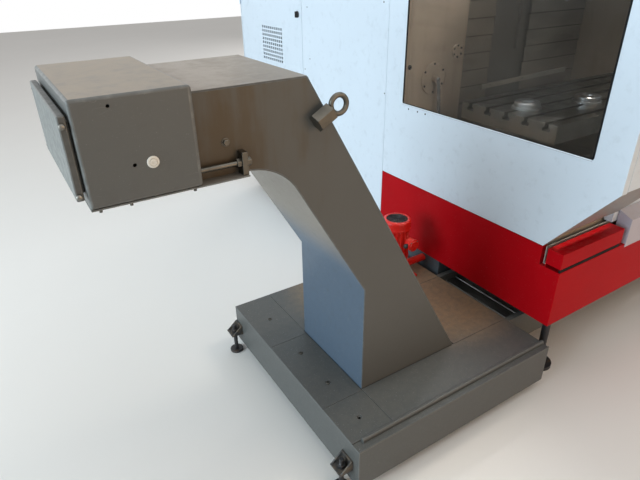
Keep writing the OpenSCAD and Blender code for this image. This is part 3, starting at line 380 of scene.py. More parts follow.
def tank_paint(name):
    """The same gray, darkened by coolant, with dried brown oil on the covers round the pump."""
    f = Finish(name)
    tint = settings().colours
    gray = times(tint.gray, 0.78)
    cloud = f.clouds(6, 5)
    fine = f.clouds(45, 5)
    up = f.top()
    low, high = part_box("pump_body")
    aside_x, aside_y = (f.along(k) - (low[k] + high[k]) / 2 for k in (0, 1))
    aside = aside_x * aside_x + aside_y * aside_y
    brown = up * (1 - f.step(aside + 0.12 * (cloud - 0.5), 0.14, 0.38))
    shade = f.shades(f.clouds(2.1, 4), gray, 0.92, 1.08)
    shade = f.mix(up * 0.05 * f.step(fine, 0.2, 0.8), shade, tint.dust)
    shade = f.mix(brown * (0.45 + 0.9 * (fine - 0.3)), shade, (0.30, 0.205, 0.115))
    shade = f.mix(f.pale_specks(up) * 0.8, shade, faded(gray))
    f.relief(f.clouds(5, 2) + f.clouds(700, 1) * 0.15 + fine * 0.03)
    return f.set(shade, 0.36 + 0.10 * fine + 0.12 * brown, 0.30)


def throat_paint(name):
    """Painted blue window light on the upright sheet; where it bends overhead, a pale dust colour that also stands
    in for the light falling there.
    """
    f = Finish(name)
    tint = settings().colours
    # cold: a bluish copy of the gray, painted light from the window; pale: the dust colour, partly painted light
    cold = [c * k for c, k in zip(tint.gray, (0.74, 1.0, 1.42))]
    pale = [0.5 * c + 0.30 * d for c, d in zip(tint.gray, tint.dust)]
    cloud = f.clouds(3, 5)
    fine = f.clouds(40, 5)
    # Mixed by height: painted blue light below, pale dust and painted light above
    shade = f.mix(f.step(f.along(2) + 0.08 * cloud, 0.66, 0.88), cold, pale)
    shade = f.mix(f.step(fine, 0.55, 0.80) * 0.35, shade, times(tint.gray, 0.8))
    shade = f.mix(f.step(f.clouds(260, 2), 0.68, 0.72) * 0.4, shade, tint.dust)
    f.relief(f.clouds(5, 2) + f.clouds(700, 1) * 0.15)
    return f.set(shade, 0.36 + 0.1 * fine, 0.32)


def bracket_grime(name):
    """Gray enamel blackened by oil and rust on the levelling brackets."""
    f = Finish(name)
    rust = f.step(f.clouds(55, 6), 0.40, 0.66)
    shade = f.mix(rust, (0.045, 0.043, 0.042), (0.11, 0.085, 0.060))
    f.relief(rust * 0.12 + f.clouds(300, 3) * 0.1)
    return f.set(shade, 0.48 + 0.2 * rust, 0.35)


def lid_paint(name):
    """The same gray made lighter, dark on the narrow faces that don't look along X, with paler smears there."""
    f = Finish(name)
    gray = settings().colours.gray
    grime = f.step(f.clouds(60, 5), 0.38, 0.62)
    # rim: the narrow faces that don't look along X, which the next two lines make dark with paler smears
    rim = 1 - f.step(abs(f.facing(0)), 0.3, 0.8)
    shade = f.shades(f.clouds(3, 4), gray, 1.45, 1.65)
    shade = f.mix(rim * (0.75 + 0.25 * grime), shade, times(gray, 0.45))
    shade = f.mix(rim * grime * 0.35, shade, (0.17, 0.17, 0.16))
    f.relief(f.clouds(5, 2) * 0.9 + grime * 0.1)
    return f.set(shade, 0.40 + 0.15 * grime, 0.34)


def edge_paint(name):
    """Gray enamel on the rounded folds, lighter than the faces round them: a painted highlight along the edges,
    paler and shinier in patches where hands and tools have rubbed it.
    """
    f = Finish(name)
    gray = settings().colours.gray
    # Lighter edge shades: painted highlight along the folds, paler in patches of rubbed wear
    wear_and_highlight = f.step(f.clouds(45, 5), 0.45, 0.70)
    shade = f.mix(wear_and_highlight, times(gray, 1.1), [c * 1.4 + 0.01 for c in gray])
    return f.set(shade, 0.36 - 0.06 * wear_and_highlight, 0.4)


def oiled_paint(name):
    """The tank's gray with old brown oil: runs down the sides next to the drive head and a film on the top."""
    f = Finish(name)
    tint = settings().colours
    near = 1 - f.step(f.along(0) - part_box("head_box")[1].x, 0.02, 0.45)
    runs = f.clouds(26, 4, (1.0, 1.0, 0.12))
    cloud = f.clouds(7, 5)
    fine = f.clouds(60, 5)
    stain = f.step(runs * 0.6 + cloud * 0.4 + 0.22 * near, 0.58, 0.78)
    up = f.top()
    shade = f.shades(f.clouds(2.5, 4), tint.gray, 0.86, 1.12)
    shade = f.mix(0.12 + 0.22 * near, shade, tint.oil)
    shade = f.mix(stain * (0.25 + 0.45 * near), shade, tint.oil)
    shade = f.mix(up * 0.55 * f.step(fine * 0.5 + cloud * 0.5, 0.10, 0.52), shade, tint.dust)
    chip = f.step(f.clouds(85, 5, rough=0.7), 0.735, 0.75)
    shade = f.mix(chip, shade, (0.30, 0.28, 0.25))
    f.relief(f.clouds(5, 2) * 1.2 + f.clouds(600, 1) * 0.15 + stain * 0.08)
    return f.set(shade, 0.38 + 0.12 * fine - 0.12 * stain, 0.34, Metallic=chip * 0.5)


def lining_sheet(name):
    """Pale sheet filmed by dried coolant in long vertical runs, and darker away from the tool magazine."""
    f = Finish(name)
    base = settings().colours.lining
    runs = f.clouds(16, 5, (1, 1, 0.10))
    cloud = f.clouds(4, 5)
    shade = f.shades(cloud, base, 0.75, 1.18)
    shade = f.mix(f.step(runs, 0.50, 0.72) * 0.45, shade, times(base, 0.42))
    # Darker toward larger X, away from the tool magazine
    shade = f.mix(f.step(f.along(0), 0.10, 0.45) * 0.65, shade, times(base, 0.30))
    f.relief(cloud * 0.6 + runs * 0.1)
    return f.set(shade, 0.45 + 0.2 * runs, Metallic=0.15)


def steel(name, colour, roughness, stretch, tarnish):
    """Bare steel with fine machining lines across one axis and a cloudy tarnish."""
    f = Finish(name)
    lines = f.clouds(160, 3, stretch)
    cloud = f.clouds(9, 5)
    stain = f.step(cloud, 0.45, 0.72)
    shade = f.shades(lines, colour, 0.86, 1.1)
    shade = f.mix(stain * tarnish, shade, times(colour, 0.48))
    f.relief(lines * 0.05 + f.clouds(420, 2) * 0.02)
    return f.set(shade, roughness + 0.22 * stain + 0.08 * lines, Metallic=1 - 0.25 * stain)


def rail_steel(name):
    """Dull rolled steel with a beige film."""
    f = Finish(name)
    film = f.step(f.clouds(8, 5, (0.4, 1, 1)), 0.3, 0.7)
    shade = f.mix(film, (0.30, 0.29, 0.26), (0.40, 0.37, 0.32))
    return f.set(shade, 0.48 + 0.1 * film, Metallic=0.25)


def guard_slats(name):
    """Brown-filmed slats with a near-black band at the laps between them, one lap to each slat: oil in the joint and
    painted shade under each slat's overlap.
    """
    f = Finish(name)
    low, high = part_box("slat_guard")
    pitch = (high.z - low.z) / SLAT_COUNT
    row = f.node("ShaderNodeMath", {"operation": "FRACT"}, {0: (f.along(2) - low.z) * (1 / pitch)})
    lap = f.step(abs(row - 0.5), 0.455, 0.49)
    film = f.step(f.clouds(6, 5, (0.4, 1, 1)), 0.3, 0.7)
    shade = f.mix(film, (0.20, 0.185, 0.16), (0.30, 0.27, 0.23))
    # Near-black band at each lap: oil in the joint and painted shade under the overlap
    shade = f.mix(lap * 0.85, shade, (0.015, 0.013, 0.011))
    return f.set(shade, 0.40 + 0.15 * film, Metallic=0.3)


def cabinet_zinc(name):
    """Galvanised plate: large flat spangles, each a slightly different gray."""
    f = Finish(name)
    spangle = f.cells(55)
    shade = f.mix(0.25, (0.56, 0.57, 0.57), spangle)
    shade = f.mix(0.75, shade, (0.54, 0.55, 0.55))
    return f.set(shade, 0.36 + 0.15 * f.clouds(20, 3), Metallic=0.85)


def dark_steel(name):
    """Blackened steel, dusty and a little rusty."""
    f = Finish(name)
    rust = f.step(f.clouds(40, 6), 0.56, 0.74)
    shade = f.mix(rust * 0.6, (0.030, 0.030, 0.032), (0.12, 0.070, 0.040))
    f.relief(f.clouds(300, 3) * 0.2)
    return f.set(shade, 0.45 + 0.25 * rust, Metallic=0.4)


def rubber(name):
    """Black rubber with a gray bloom."""
    f = Finish(name)
    bloom = f.step(f.clouds(24, 5), 0.5, 0.8)
    shade = f.mix(bloom * 0.35, settings().colours.rubber, (0.09, 0.088, 0.085))
    f.relief(f.clouds(500, 2) * 0.1)
    return f.set(shade, 0.5 + 0.2 * bloom, 0.05)


def black_plastic(name):
    """Fine-grained black moulding."""
    f = Finish(name)
    grain = f.clouds(900, 2)
    shade = f.mix(grain, (0.018, 0.018, 0.019), (0.032, 0.032, 0.034))
    f.relief(grain * 0.08)
    return f.set(shade, 0.38 + 0.1 * grain)


def plastic(name, low, high, roughness):
    """Moulded plastic in a dark and a light shade of one colour."""
    f = Finish(name)
    cloud = f.clouds(60, 4)
    f.relief(f.clouds(700, 2) * 0.06)
    return f.set(f.mix(cloud, low, high), roughness + 0.1 * cloud)


def smoked_glass(name):
    """Safety glass, brown with mist: what lets light through thins the alpha, dried spray and wipes thicken it."""
    f = Finish(name)
    mist = f.step(f.clouds(1.6, 5), 0.35, 0.72)
    wipes = f.step(f.clouds(9, 4, (1, 0.5, 2.5)), 0.48, 0.72)
    drops = f.step(f.clouds(210, 2), 0.685, 0.71)
    shade = f.mix(mist, (0.022, 0.020, 0.018), (0.060, 0.052, 0.043))
    shade = f.mix(drops * 0.5, shade, (0.32, 0.29, 0.25))
    return f.set(shade, 0.05 + 0.06 * wipes, 0.35, IOR=1.5,
                 Alpha=0.20 + 0.06 * mist + 0.03 * wipes + 0.2 * drops)


def screen_glass(name):
    """A dark display behind plain glass, faintly smudged."""
    f = Finish(name)
    smudge = f.clouds(30, 4)
    shade = f.mix(smudge, (0.010, 0.012, 0.015), (0.026, 0.029, 0.034))
    return f.set(shade, 0.08 + 0.12 * smudge, Coat_Weight=0.5, Coat_Roughness=0.03)


def lamp_tube(name):
    """Frosted cover of the work lamp, glowing in slightly warm and cold white."""
    f = Finish(name)
    cloud = f.clouds(30, 3)
    glow = f.mix(cloud, (0.92, 0.95, 1.0), (1.0, 0.98, 0.94))
    return f.set((0.8, 0.8, 0.8), 0.5, Emission_Color=glow, Emission_Strength=120.0)


PAINTS = {  # paint: colour in the settings or its own, roughness, and what else differs
    # panel_paint's under mixes a dark gray into the faces that look down: painted shade
    "panel_paint": ("panel", 0.34, {"dust": 0.25, "mottle": 0.06, "specks": 0.12, "wave": 0.0010, "under": 0.85}),
    "gray_paint": ("gray", 0.36, {"dust": 0.12, "mottle": 0.07, "specks": 0.8, "wave": 0.0010, "chips": 0.005,
                                  "gloss": 0.34, "high_dust": 0.68}),
    "casting_paint": ("casting", 0.42, {"dust": 0.5, "mottle": 0.10, "specks": 0.5, "peel": 0.0006,
                                        "wave": 0.0006, "chips": 0.02}),
    # frame_paint: blue-gray drawn darker than the casting, partly its own colour and partly painted shade under the
    # red skirt
    "frame_paint": ((0.072, 0.086, 0.097), 0.45, {"dust": 0.3, "specks": 0.4, "chips": 0.01, "gloss": 0.3}),
    "console_paint": ("console", 0.40, {"dust": 0.2, "mottle": 0.05, "specks": 0.2, "peel": 0.0009,
                                        "wave": 0.0002}),
    "pump_paint": ("pump", 0.28, {"dust": 0.12, "mottle": 0.12, "specks": 0.3, "peel": 0.0003, "wave": 0.0004,
                                  "coat": 0.15, "gloss": 0.25}),
    # sill_paint: a darker, lilac copy of the panel paint, painted shade and cool window light
    "sill_paint": ("sill", 0.38, {"dust": 0.35, "mottle": 0.08, "specks": 0.4, "chips": 0.02}),
}
STEELS = {  # steel: colour, roughness, stretch of the machining lines, tarnish
    "bright_steel": ((0.48, 0.49, 0.49), 0.28, (1, 1, 14), 0.35),
    "plated_steel": ((0.22, 0.212, 0.19), 0.28, (1, 1, 1), 0.6),
    "slat_steel": ((0.27, 0.275, 0.26), 0.42, (12, 1, 1), 0.5),
    "greasy_steel": ((0.125, 0.117, 0.10), 0.30, (1, 8, 8), 0.8),
}
PLASTICS = {  # plastic: dark shade, light shade, roughness
    "plug_white": ((0.62, 0.60, 0.54), (0.78, 0.76, 0.70), 0.40),
    "hose_gray": ((0.16, 0.16, 0.155), (0.24, 0.24, 0.235), 0.42),
    "stop_red": ((0.50, 0.012, 0.010), (0.60, 0.020, 0.016), 0.26),
    "start_green": ((0.020, 0.26, 0.07), (0.030, 0.34, 0.10), 0.26),
    "key_gray": ((0.48, 0.49, 0.50), (0.58, 0.59, 0.60), 0.42),
}
RECIPES = {recipe.__name__: recipe for recipe in (
    red_paint, tank_paint, throat_paint, bracket_grime, lid_paint, edge_paint, oiled_paint, lining_sheet,
    rail_steel, guard_slats, cabinet_zinc, dark_steel, rubber, black_plastic, smoked_glass, screen_glass,
    lamp_tube)}


def unit(vector):
    """The same direction with length 1."""
    vector = np.asarray(vector, float)
    return vector / np.linalg.norm(vector, axis=-1, keepdims=True)


def across(axis):
    """Two unit directions square to an axis and to each other."""
    axis = unit(axis)
    helper = np.array([0.0, 0.0, 1.0]) if abs(axis[2]) < 0.9 else np.array([1.0, 0.0, 0.0])
    first = unit(np.cross(helper, axis))
    return first, np.cross(axis, first)


class Form:
    """Grids of points in the row frame, gathered into the mesh of one piece."""

    def __init__(self):
        self.points, self.quads, self.count = [], [], 0

    def grid(self, points, wrap_u=False):
        """Adds a surface whose points are a function of two parameters, as an array (u, v, 3), closed in v."""
        nu, nv = points.shape[:2]
        index = np.arange(nu * nv).reshape(nu, nv) + self.count
        if wrap_u:
            index = np.concatenate([index, index[:1]])
        index = np.concatenate([index, index[:, :1]], axis=1)
        corners = [index[:-1, :-1], index[1:, :-1], index[1:, 1:], index[:-1, 1:]]
        self.quads.append(np.stack(corners, -1).reshape(-1, 4))
        self.points.append(points.reshape(-1, 3))
        self.count += nu * nv
        return self

    def turned(self, profile, centre, axis, sides=32, flutes=0, depth=0.0):
        """Revolves a profile of (radius, height) millimetres about an axis through centre:
        point = centre + height along the axis + radius times (cos t, sin t) across it,
        the radius less depth * (1 + cos(flutes * t)) / 2 where the profile is not at its pole."""
        radius, height = np.array(profile, float).T * MM
        turn = np.arange(sides) * 2 * math.pi / sides
        first, second = across(axis)
        ring = np.cos(turn)[:, None] * first + np.sin(turn)[:, None] * second
        cut = depth * MM * (1 + np.cos(flutes * turn)) / 2 if flutes else np.zeros(sides)
        reach = np.maximum(radius[:, None] - cut[None, :] * (radius[:, None] > 2 * depth * MM), 0)
        points = centre + reach[..., None] * ring[None] + (height[:, None] * unit(axis))[:, None, :]
        return self.grid(points)

    def carried(self, section, path, up, closed=False):
        """Carries a closed section of (side, height) metres along a path:
        point = path + side * (tangent x up) + height * up, with the tangent from the neighbouring points."""
        path = np.asarray(path, float)
        if closed:
            ahead, behind = np.roll(path, -1, 0), np.roll(path, 1, 0)
        else:
            ahead, behind = np.vstack([path[1:], path[-1:]]), np.vstack([path[:1], path[:-1]])
        tangent = unit(ahead - behind)
        up = np.broadcast_to(np.asarray(up, float), path.shape)
        side = unit(np.cross(tangent, up))
        rise = np.cross(side, tangent)
        section = np.asarray(section, float)
        points = (path[:, None] + section[None, :, :1] * side[:, None] + section[None, :, 1:] * rise[:, None])
        if not closed:
            start, end = (np.repeat(points[i].mean(0)[None], points.shape[1], 0)[None] for i in (0, -1))
            points = np.concatenate([start, points, end])
        return self.grid(points, closed)

    def slab(self, low, high, radius):
        """A box with rounded edges: a sphere's directions (longitude, latitude) set on the box of half sizes
        less the radius, point = centre + sign * inner half sizes + radius * direction."""
        low, high = np.asarray(low, float), np.asarray(high, float)
        lon = np.concatenate([np.linspace(q, q + 0.5, 4) for q in (0, 0.5, 1, 1.5)]) * math.pi
        lat = np.concatenate([np.linspace(-0.5, 0, 4), np.linspace(0, 0.5, 4)]) * math.pi
        quarter = np.repeat([0, 1, 2, 3], 4)
        sign_x = np.array([1, -1, -1, 1])[quarter]
        sign_y = np.array([1, 1, -1, -1])[quarter]
        sign_z = np.repeat([-1, 1], 4)
        direction = np.stack([np.cos(lat)[:, None] * np.cos(lon), np.cos(lat)[:, None] * np.sin(lon),
                              np.repeat(np.sin(lat)[:, None], len(lon), 1)], -1)
        corner = np.stack(np.broadcast_arrays(sign_x, sign_y, sign_z[:, None]), -1)
        points = (low + high) / 2 + corner * ((high - low) / 2 - radius) + radius * direction
        cap_low, cap_high = points[:1].mean(1, keepdims=True), points[-1:].mean(1, keepdims=True)
        points = np.concatenate([np.broadcast_to(cap_low, points[:1].shape), points,
                                 np.broadcast_to(cap_high, points[:1].shape)])
        return self.grid(points)

    def piece(self, name, body, coat, node=None, slot=None):
        """Makes the mesh object, closes its poles, turns its faces outwards and lets it ride on its body.
        It stands for a CAD node if one is given. Its slot, that node's or else the one of its coat, is worked out
        but not set."""
        points, quads = np.concatenate(self.points), np.concatenate(self.quads)
        mesh = bpy.data.meshes.new(name)
        mesh.vertices.add(len(points))
        mesh.vertices.foreach_set("co", points.astype(np.float32).ravel())
        mesh.loops.add(quads.size)
        mesh.loops.foreach_set("vertex_index", quads.astype(np.int32).ravel())
        mesh.polygons.add(len(quads))
        mesh.polygons.foreach_set("loop_start", np.arange(len(quads), dtype=np.int32) * 4)
        mesh.update(calc_edges=True)
        work = bmesh.new()
        work.from_mesh(mesh)
        bmesh.ops.remove_doubles(work, verts=work.verts, dist=1e-6)
        bmesh.ops.dissolve_degenerate(work, edges=work.edges, dist=1e-6)
        bmesh.ops.recalc_face_normals(work, faces=work.faces)
        work.to_mesh(mesh)
        work.free()
        slot = SLOT_OF[node] if node else slot or SLOT_OF_COAT[coat]
        return settle(name, mesh, body, coat, node)


def settle(name, mesh, body, coat, node, crease=35):
    """Puts a finished mesh in the scene with its material, smooth shading and body."""
    mesh.shade_smooth()
    mesh.set_sharp_from_angle(angle=math.radians(crease))
    piece = bpy.data.objects.new(name, mesh)
    bpy.context.scene.collection.objects.link(piece)
    mesh.materials.append(finish(coat))
    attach(piece, body)
    if node:
        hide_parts(node)
    return piece


def rounded(node, coat, width, edge_coat=None, outer_only=False):
    """A copy of a CAD node with its doubles merged, its flat faces joined and its corners rounded by a
    Bevel modifier. It stands for the node. With outer_only, only corners on the node's own box are rounded."""
    source = NODES[node]
    work = bmesh.new()
    work.from_mesh(source.data)
    bmesh.ops.remove_doubles(work, verts=work.verts, dist=2e-6)
    bmesh.ops.dissolve_limit(work, angle_limit=math.radians(0.4), verts=work.verts, edges=work.edges)
    name = node + "_formed"
    mesh = bpy.data.meshes.new(name)
    layer = work.edges.layers.float.new("bevel_weight_edge")
    low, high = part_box(node)
    for edge in work.edges:
        if len(edge.link_faces) == 2 and edge.calc_face_angle() > math.radians(28):
            middle = (edge.verts[0].co + edge.verts[1].co) / 2
            planes = sum(min(middle[k] - low[k], high[k] - middle[k]) < 1e-5 for k in range(3))
            if edge.is_convex and (planes >= 2 or not outer_only):
                edge[layer] = 1.0
    work.to_mesh(mesh)
    work.free()
    piece = settle(name, mesh, source["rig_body"], coat, node, 28)
    if edge_coat:
        mesh.materials.append(finish(edge_coat))
    bevel = piece.modifiers.new("Rounded corners", "BEVEL")
    bevel.width, bevel.segments, bevel.limit_method = width, 3, "WEIGHT"
    bevel.material = 1 if edge_coat else -1
    bevel.miter_outer = "MITER_ARC"
    flat = piece.modifiers.new("Flat faces", "WEIGHTED_NORMAL")
    flat.keep_sharp = True
    return piece


def recoat(coat, *nodes):
    """Gives CAD nodes that keep their own shape a better material."""
    for node in nodes:
        mesh = NODES[node].data
        mesh.materials.clear()
        mesh.materials.append(finish(coat))


# Profiles of fasteners as (radius, height) in millimetres, the height from the face they sit on
HEX_BOLT = [(0, -1), (7.5, -1), (7.5, 4.4), (6.5, 5.3), (0, 5.3)]
UNDER_BOLT = [(0, -1), (6.5, -1), (6.5, 4), (3.6, 4.4), (3.6, 10), (0, 10)]
WASHER = [(0, -0.5), (10, -0.5), (10, 1.2), (9.4, 1.7), (0, 1.7)]
DOME_SCREW = [(0, -0.5), (6.2, -0.5), (6.2, 0.6), (5.4, 2.2), (3.6, 3.3), (1.6, 3.6), (1.3, 2.6), (0, 2.6)]
RING_SCREW = [(0, -1), (7, -1), (7, 2.2), (6.2, 3), (3.8, 3), (3.6, 0.4), (0, 0.4)]
SMALL_SCREW = [(0, -0.5), (4.2, -0.5), (4.2, 0.5), (3.4, 1.3), (1.5, 1.5), (1.2, 0.7), (0, 0.7)]
PLUG_BOLT = [(0, -1), (11, -1), (11, 4), (10.4, 7), (8.6, 9.4), (5.5, 10.6), (0, 11)]


def scaled(profile, factor):
    """A turned profile made larger or smaller."""
    return [(r * factor, h * factor) for r, h in profile]


def fasteners(name, body, places, axis, profile, coat="plated_steel", sides=18, washer=False, size=1.0):
    """One piece of like fasteners: the same turned profile at each place, over a washer if asked."""
    form = Form()
    for point in np.atleast_2d(places):
        if washer:
            form.turned(scaled(WASHER, size), point, axis, 28)
            point = point + unit(axis) * WASHER[-1][1] * size * MM
        form.turned(scaled(profile, size), point, axis, sides)
    return form.piece(name, body, coat, slot="plated_steel")


def edge_ring(half_u, half_v, radius):
    """A rounded rectangle as an array (n, 2): the four corner centres plus the radius times the direction."""
    turn = np.linspace(0, 0.5, 8) * math.pi
    corners = [(1, 1, 0.0), (-1, 1, 0.5), (-1, -1, 1.0), (1, -1, 1.5)]
    parts = [np.stack([su * (half_u - radius) + radius * np.cos(turn + start * math.pi),
                       sv * (half_v - radius) + radius * np.sin(turn + start * math.pi)], -1)
             for su, sv, start in corners]
    return np.concatenate(parts)


def tube_section(radius):
    """A circle as an array (8, 2): the radius times (cos t, sin t)."""
    turn = -np.arange(8) * math.pi / 4
    return np.stack([np.cos(turn), np.sin(turn)], -1) * radius


def border(name, body, coat, section, node, lap, corner, side, face):
    """Carries a section round a pane, along a rounded rectangle lap millimetres inside the pane's outline.
    The pane looks along axis side, 0 for left and 1 for front, on which the rectangle lies at face."""
    low, high = span(node)
    middle, half = (low + high) / 2, ((high - low) / 2 - lap) * MM
    middle[side] = face
    ring = edge_ring(half[1 - side], half[2], corner)
    path = np.zeros((len(ring), 3))
    path[:, 1 - side], path[:, 2] = ring.T
    section = np.array(section)
    if side == 1:
        section = section[::-1] * (-1, 1)
    Form().carried(section, path + at(*middle), (LEFT, FRONT)[side], closed=True).piece(name, body, coat)


class SCENE_OT_studio(bpy.types.Operator):
    """Sets up the camera, the lamps, the white world and the pale floor."""
    bl_idname = "machining_center.studio"
    bl_label = "Studio"

    def execute(self, context):
        stage = settings().stage
        camera = bpy.data.objects.new("Camera", bpy.data.cameras.new("Camera"))
        bpy.context.scene.collection.objects.link(camera)
        camera.location = stage.camera_place
        camera.rotation_euler = Euler(stage.camera_turn, "XYZ")
        camera.data.lens, camera.data.sensor_width = stage.lens, 36.0
        camera.data.clip_start, camera.data.clip_end = 0.05, 200.0
        bpy.context.scene.camera = camera
        bpy.context.scene.view_settings.view_transform = "Standard"
        self.world(stage.ambient)
        self.lamp("Hall windows", (-6.5, -0.4, 2.1), (-0.4, 0.0, 0.6), (5.0, 3.2), 350, (0.72, 0.89, 1.0))
        self.lamp("Roof light", (0.2, -1.5, 6.0), (-0.3, 0.0, 0.5), (5.0, 5.0), 90, (1.0, 0.97, 0.92))
        self.lamp("Front glow", (1.0, -6.0, 1.8), (0.0, 0.0, 0.9), (4.0, 2.5), 80, (1.0, 0.60, 0.27))
        self.lamp("Rear fill", (6.0, 5.0, 3.2), (0.4, 0.3, 1.0), (5.0, 4.0), 300, (0.97, 0.98, 1.0))
        self.lamp("Work light", at(430, 420, 2050), at(240, 1095, 950), (0.7, 0.3), 24, (1.0, 0.92, 0.80))
        self.floor(stage)
        return {"FINISHED"}

    def world(self, ambient):
        """White at full strength where a ray looks at it, and the ambient strength for all other light."""
        world = bpy.data.worlds.new("Studio")
        bpy.context.scene.world = world
        world.use_nodes = True
        graph = Graph(world.node_tree)
        camera, glossy, through = (graph.node("ShaderNodeLightPath", output=ray) for ray in (
            "Is Camera Ray", "Is Glossy Ray", "Is Transmission Ray"))
        seen = graph.node("ShaderNodeMath", {"operation": "MAXIMUM"}, {0: camera, 1: glossy})
        clear = graph.node("ShaderNodeMath", {"operation": "MAXIMUM"}, {0: seen, 1: through})
        level = graph.node("ShaderNodeMapRange", {}, {"Value": clear, "To Min": ambient})
        background = world.node_tree.nodes["Background"]
        graph.feed(background.inputs["Strength"], level)
        graph.feed(background.inputs["Color"], (1, 1, 1))

    def lamp(self, name, place, aim, size, watts, colour):
        """An unseen rectangular lamp that looks at a point."""
        data = bpy.data.lights.new(name, "AREA")
        data.shape, (data.size, data.size_y) = "RECTANGLE", size
        data.energy, data.color = watts, colour
        lamp = bpy.data.objects.new(name, data)
        bpy.context.scene.collection.objects.link(lamp)
        lamp.location, lamp.visible_camera = place, False
        lamp.rotation_euler = (Vector(aim) - Vector(place)).to_track_quat("-Z", "Y").to_euler()

    def floor(self, stage):
        """A flat grid of points; its finish is smooth screed with faint clouds."""
        line = np.linspace(-stage.floor_half, stage.floor_half, 9)
        points = np.stack(np.meshgrid(line, line, [0.0], indexing="ij"), -1)[:, :, 0]
        f = Finish("pale_floor")
        cloud = f.clouds(0.8, 4)
        material = f.set(f.shades(cloud, stage.floor, 0.97, 1.03), 0.55)
        mesh = bpy.data.meshes.new("floor")
        index = np.arange(len(line) ** 2).reshape(len(line), -1)
        quads = np.stack([index[:-1, :-1], index[1:, :-1], index[1:, 1:], index[:-1, 1:]], -1).reshape(-1, 4)
        mesh.from_pydata(points.reshape(-1, 3).tolist(), [], quads.tolist())
        mesh.materials.append(material)
        floor = bpy.data.objects.new("floor", mesh)
        bpy.context.scene.collection.objects.link(floor)


class SCENE_OT_enclosure(bpy.types.Operator):
    """Folds the white panels, screws them on and fits the hood and the roof."""
    bl_idname = "machining_center.enclosure"
    bl_label = "Enclosure"

    def execute(self, context):
        fold = settings().sheets.fold_radius
        for node in ("window_panel", "middle_panel", "right_panel", "rear_panel", "roof_panel",
                     "front_hood", "cabinet_shell"):
            rounded(node, "panel_paint", fold)
        low, high = span("middle_panel")
        rows = np.linspace(low[2] + 55, high[2] - 55, 7)
        places = at(0, [1856, 1802, 1820, 1149, 1179], [946, 1007, 1265, 939, 1319])
        fasteners("side_panel_screws", "machine", places, LEFT, SMALL_SCREW, "dark_steel", size=0.8)
        width = span("right_panel")[1][0]
        right = np.concatenate([at(width, low[1] + 28, rows), at(width, high[1] - 26, rows)])
        fasteners("right_panel_screws", "machine", right, RIGHT, SMALL_SCREW, "dark_steel")
        depth = span("rear_panel")[1][1]
        back = np.concatenate([at(x, depth, rows) for x in (60, 740, 1460, 2120)])
        fasteners("rear_panel_screws", "machine", back, REAR, SMALL_SCREW, "dark_steel")
        return {"FINISHED"}


class SCENE_OT_side_window(bpy.types.Operator):
    """Fits the side window: glass, rubber gasket, drip strip and small screws."""
    bl_idname = "machining_center.side_window"
    bl_label = "Side Window"

    def execute(self, context):
        rounded("window_glass", "smoked_glass", 0.0008)
        size = settings().gasket
        low, high = span("window_glass")
        inner, lip, proud = size.inner, size.lip, size.height
        sunk = -low[0] * MM
        section = [(-inner, sunk), (-inner + 0.001, sunk + 0.0035), (-inner * 0.6, 0.4 * proud),
                   (-0.005, 0.85 * proud), (-0.0035, 0.4 * proud), (-0.0015, 0.4 * proud), (0.0, proud),
                   (lip * 0.6, 0.8 * proud), (lip, 0.15 * proud), (lip, 0.0), (0.0005, 0.0), (0.0005, sunk)]
        border("window_gasket", "machine", "rubber", section, "window_glass", GLASS_LAP, size.corner, 0, 0)
        bottom = low[2] + GLASS_LAP
        strip = [(0.0, 0.0), (0.0, 0.0030), (0.0012, 0.0038), (0.0040, 0.0020), (0.0046, 0.0)]
        ends = at(0, np.linspace(low[1] + GLASS_LAP, high[1] - GLASS_LAP, 24), bottom - 6)
        Form().carried(strip, ends, LEFT).piece("window_drip_strip", "machine", "panel_paint")
        places = at(0, [979, 921, 873], bottom - 20)
        fasteners("window_lower_screws", "machine", places, LEFT, SMALL_SCREW, "dark_steel", size=0.9)
        return {"FINISHED"}


class SCENE_OT_red_base(bpy.types.Operator):
    """Forms the red skirt, the ledge boxes, the pale sill and the bare steel door rail."""
    bl_idname = "machining_center.red_base"
    bl_label = "Red Base"

    def execute(self, context):
        radius = settings().sheets.skirt_radius
        rounded("red_skirt", "red_paint", radius)
        rounded("ledge_boxes", "red_paint", radius)
        rounded("front_sill", "sill_paint", radius)
        rounded("door_rail", "rail_steel", 0.001)
        low, high = span("ledge_boxes")
        slot_depth, end_gap = 15, 30
        seam = low[2] - slot_depth
        length = span("front_sill")[0][0] - end_gap
        # Black strips in the slot under the ledge boxes: a dark sheet that stands in for the shade inside the slot
        form = Form()
        for x in (4, high[0] - length + 4):
            form.slab(at(x, low[1] + 2, seam), at(x + length - 8, low[1] + 9, low[2] + 12), 0.001)
        form.piece("ledge_box_seals", "machine", "rubber")
        # The base frame's dark blue-gray is partly painted shade under the skirt
        rounded("base_frame", "frame_paint", 0.002)
        recoat("dark_steel", "machine_feet")
        return {"FINISHED"}


class SCENE_OT_front_door(bpy.types.Operator):
    """Forms the sliding front door with its pane and gasket."""
    bl_idname = "machining_center.front_door"
    bl_label = "Front Door"

    def execute(self, context):
        rounded("front_door", "panel_paint", 0.0014)
        rounded("door_glass", "smoked_glass", 0.0008)
        door_sheet = 3
        section = [(-0.014, -0.003), (-0.013, 0.0), (-0.006, 0.002), (0.0, 0.0035), (0.007, 0.003),
                   (0.010, 0.0005), (0.010, 0.0), (0.0005, 0.0), (0.0005, -0.003)]
        border("front_door_gasket", "front_door", "rubber", section, "door_glass", GLASS_LAP, 0.012, 1,
               span("door_glass")[0][1] - door_sheet)
        return {"FINISHED"}


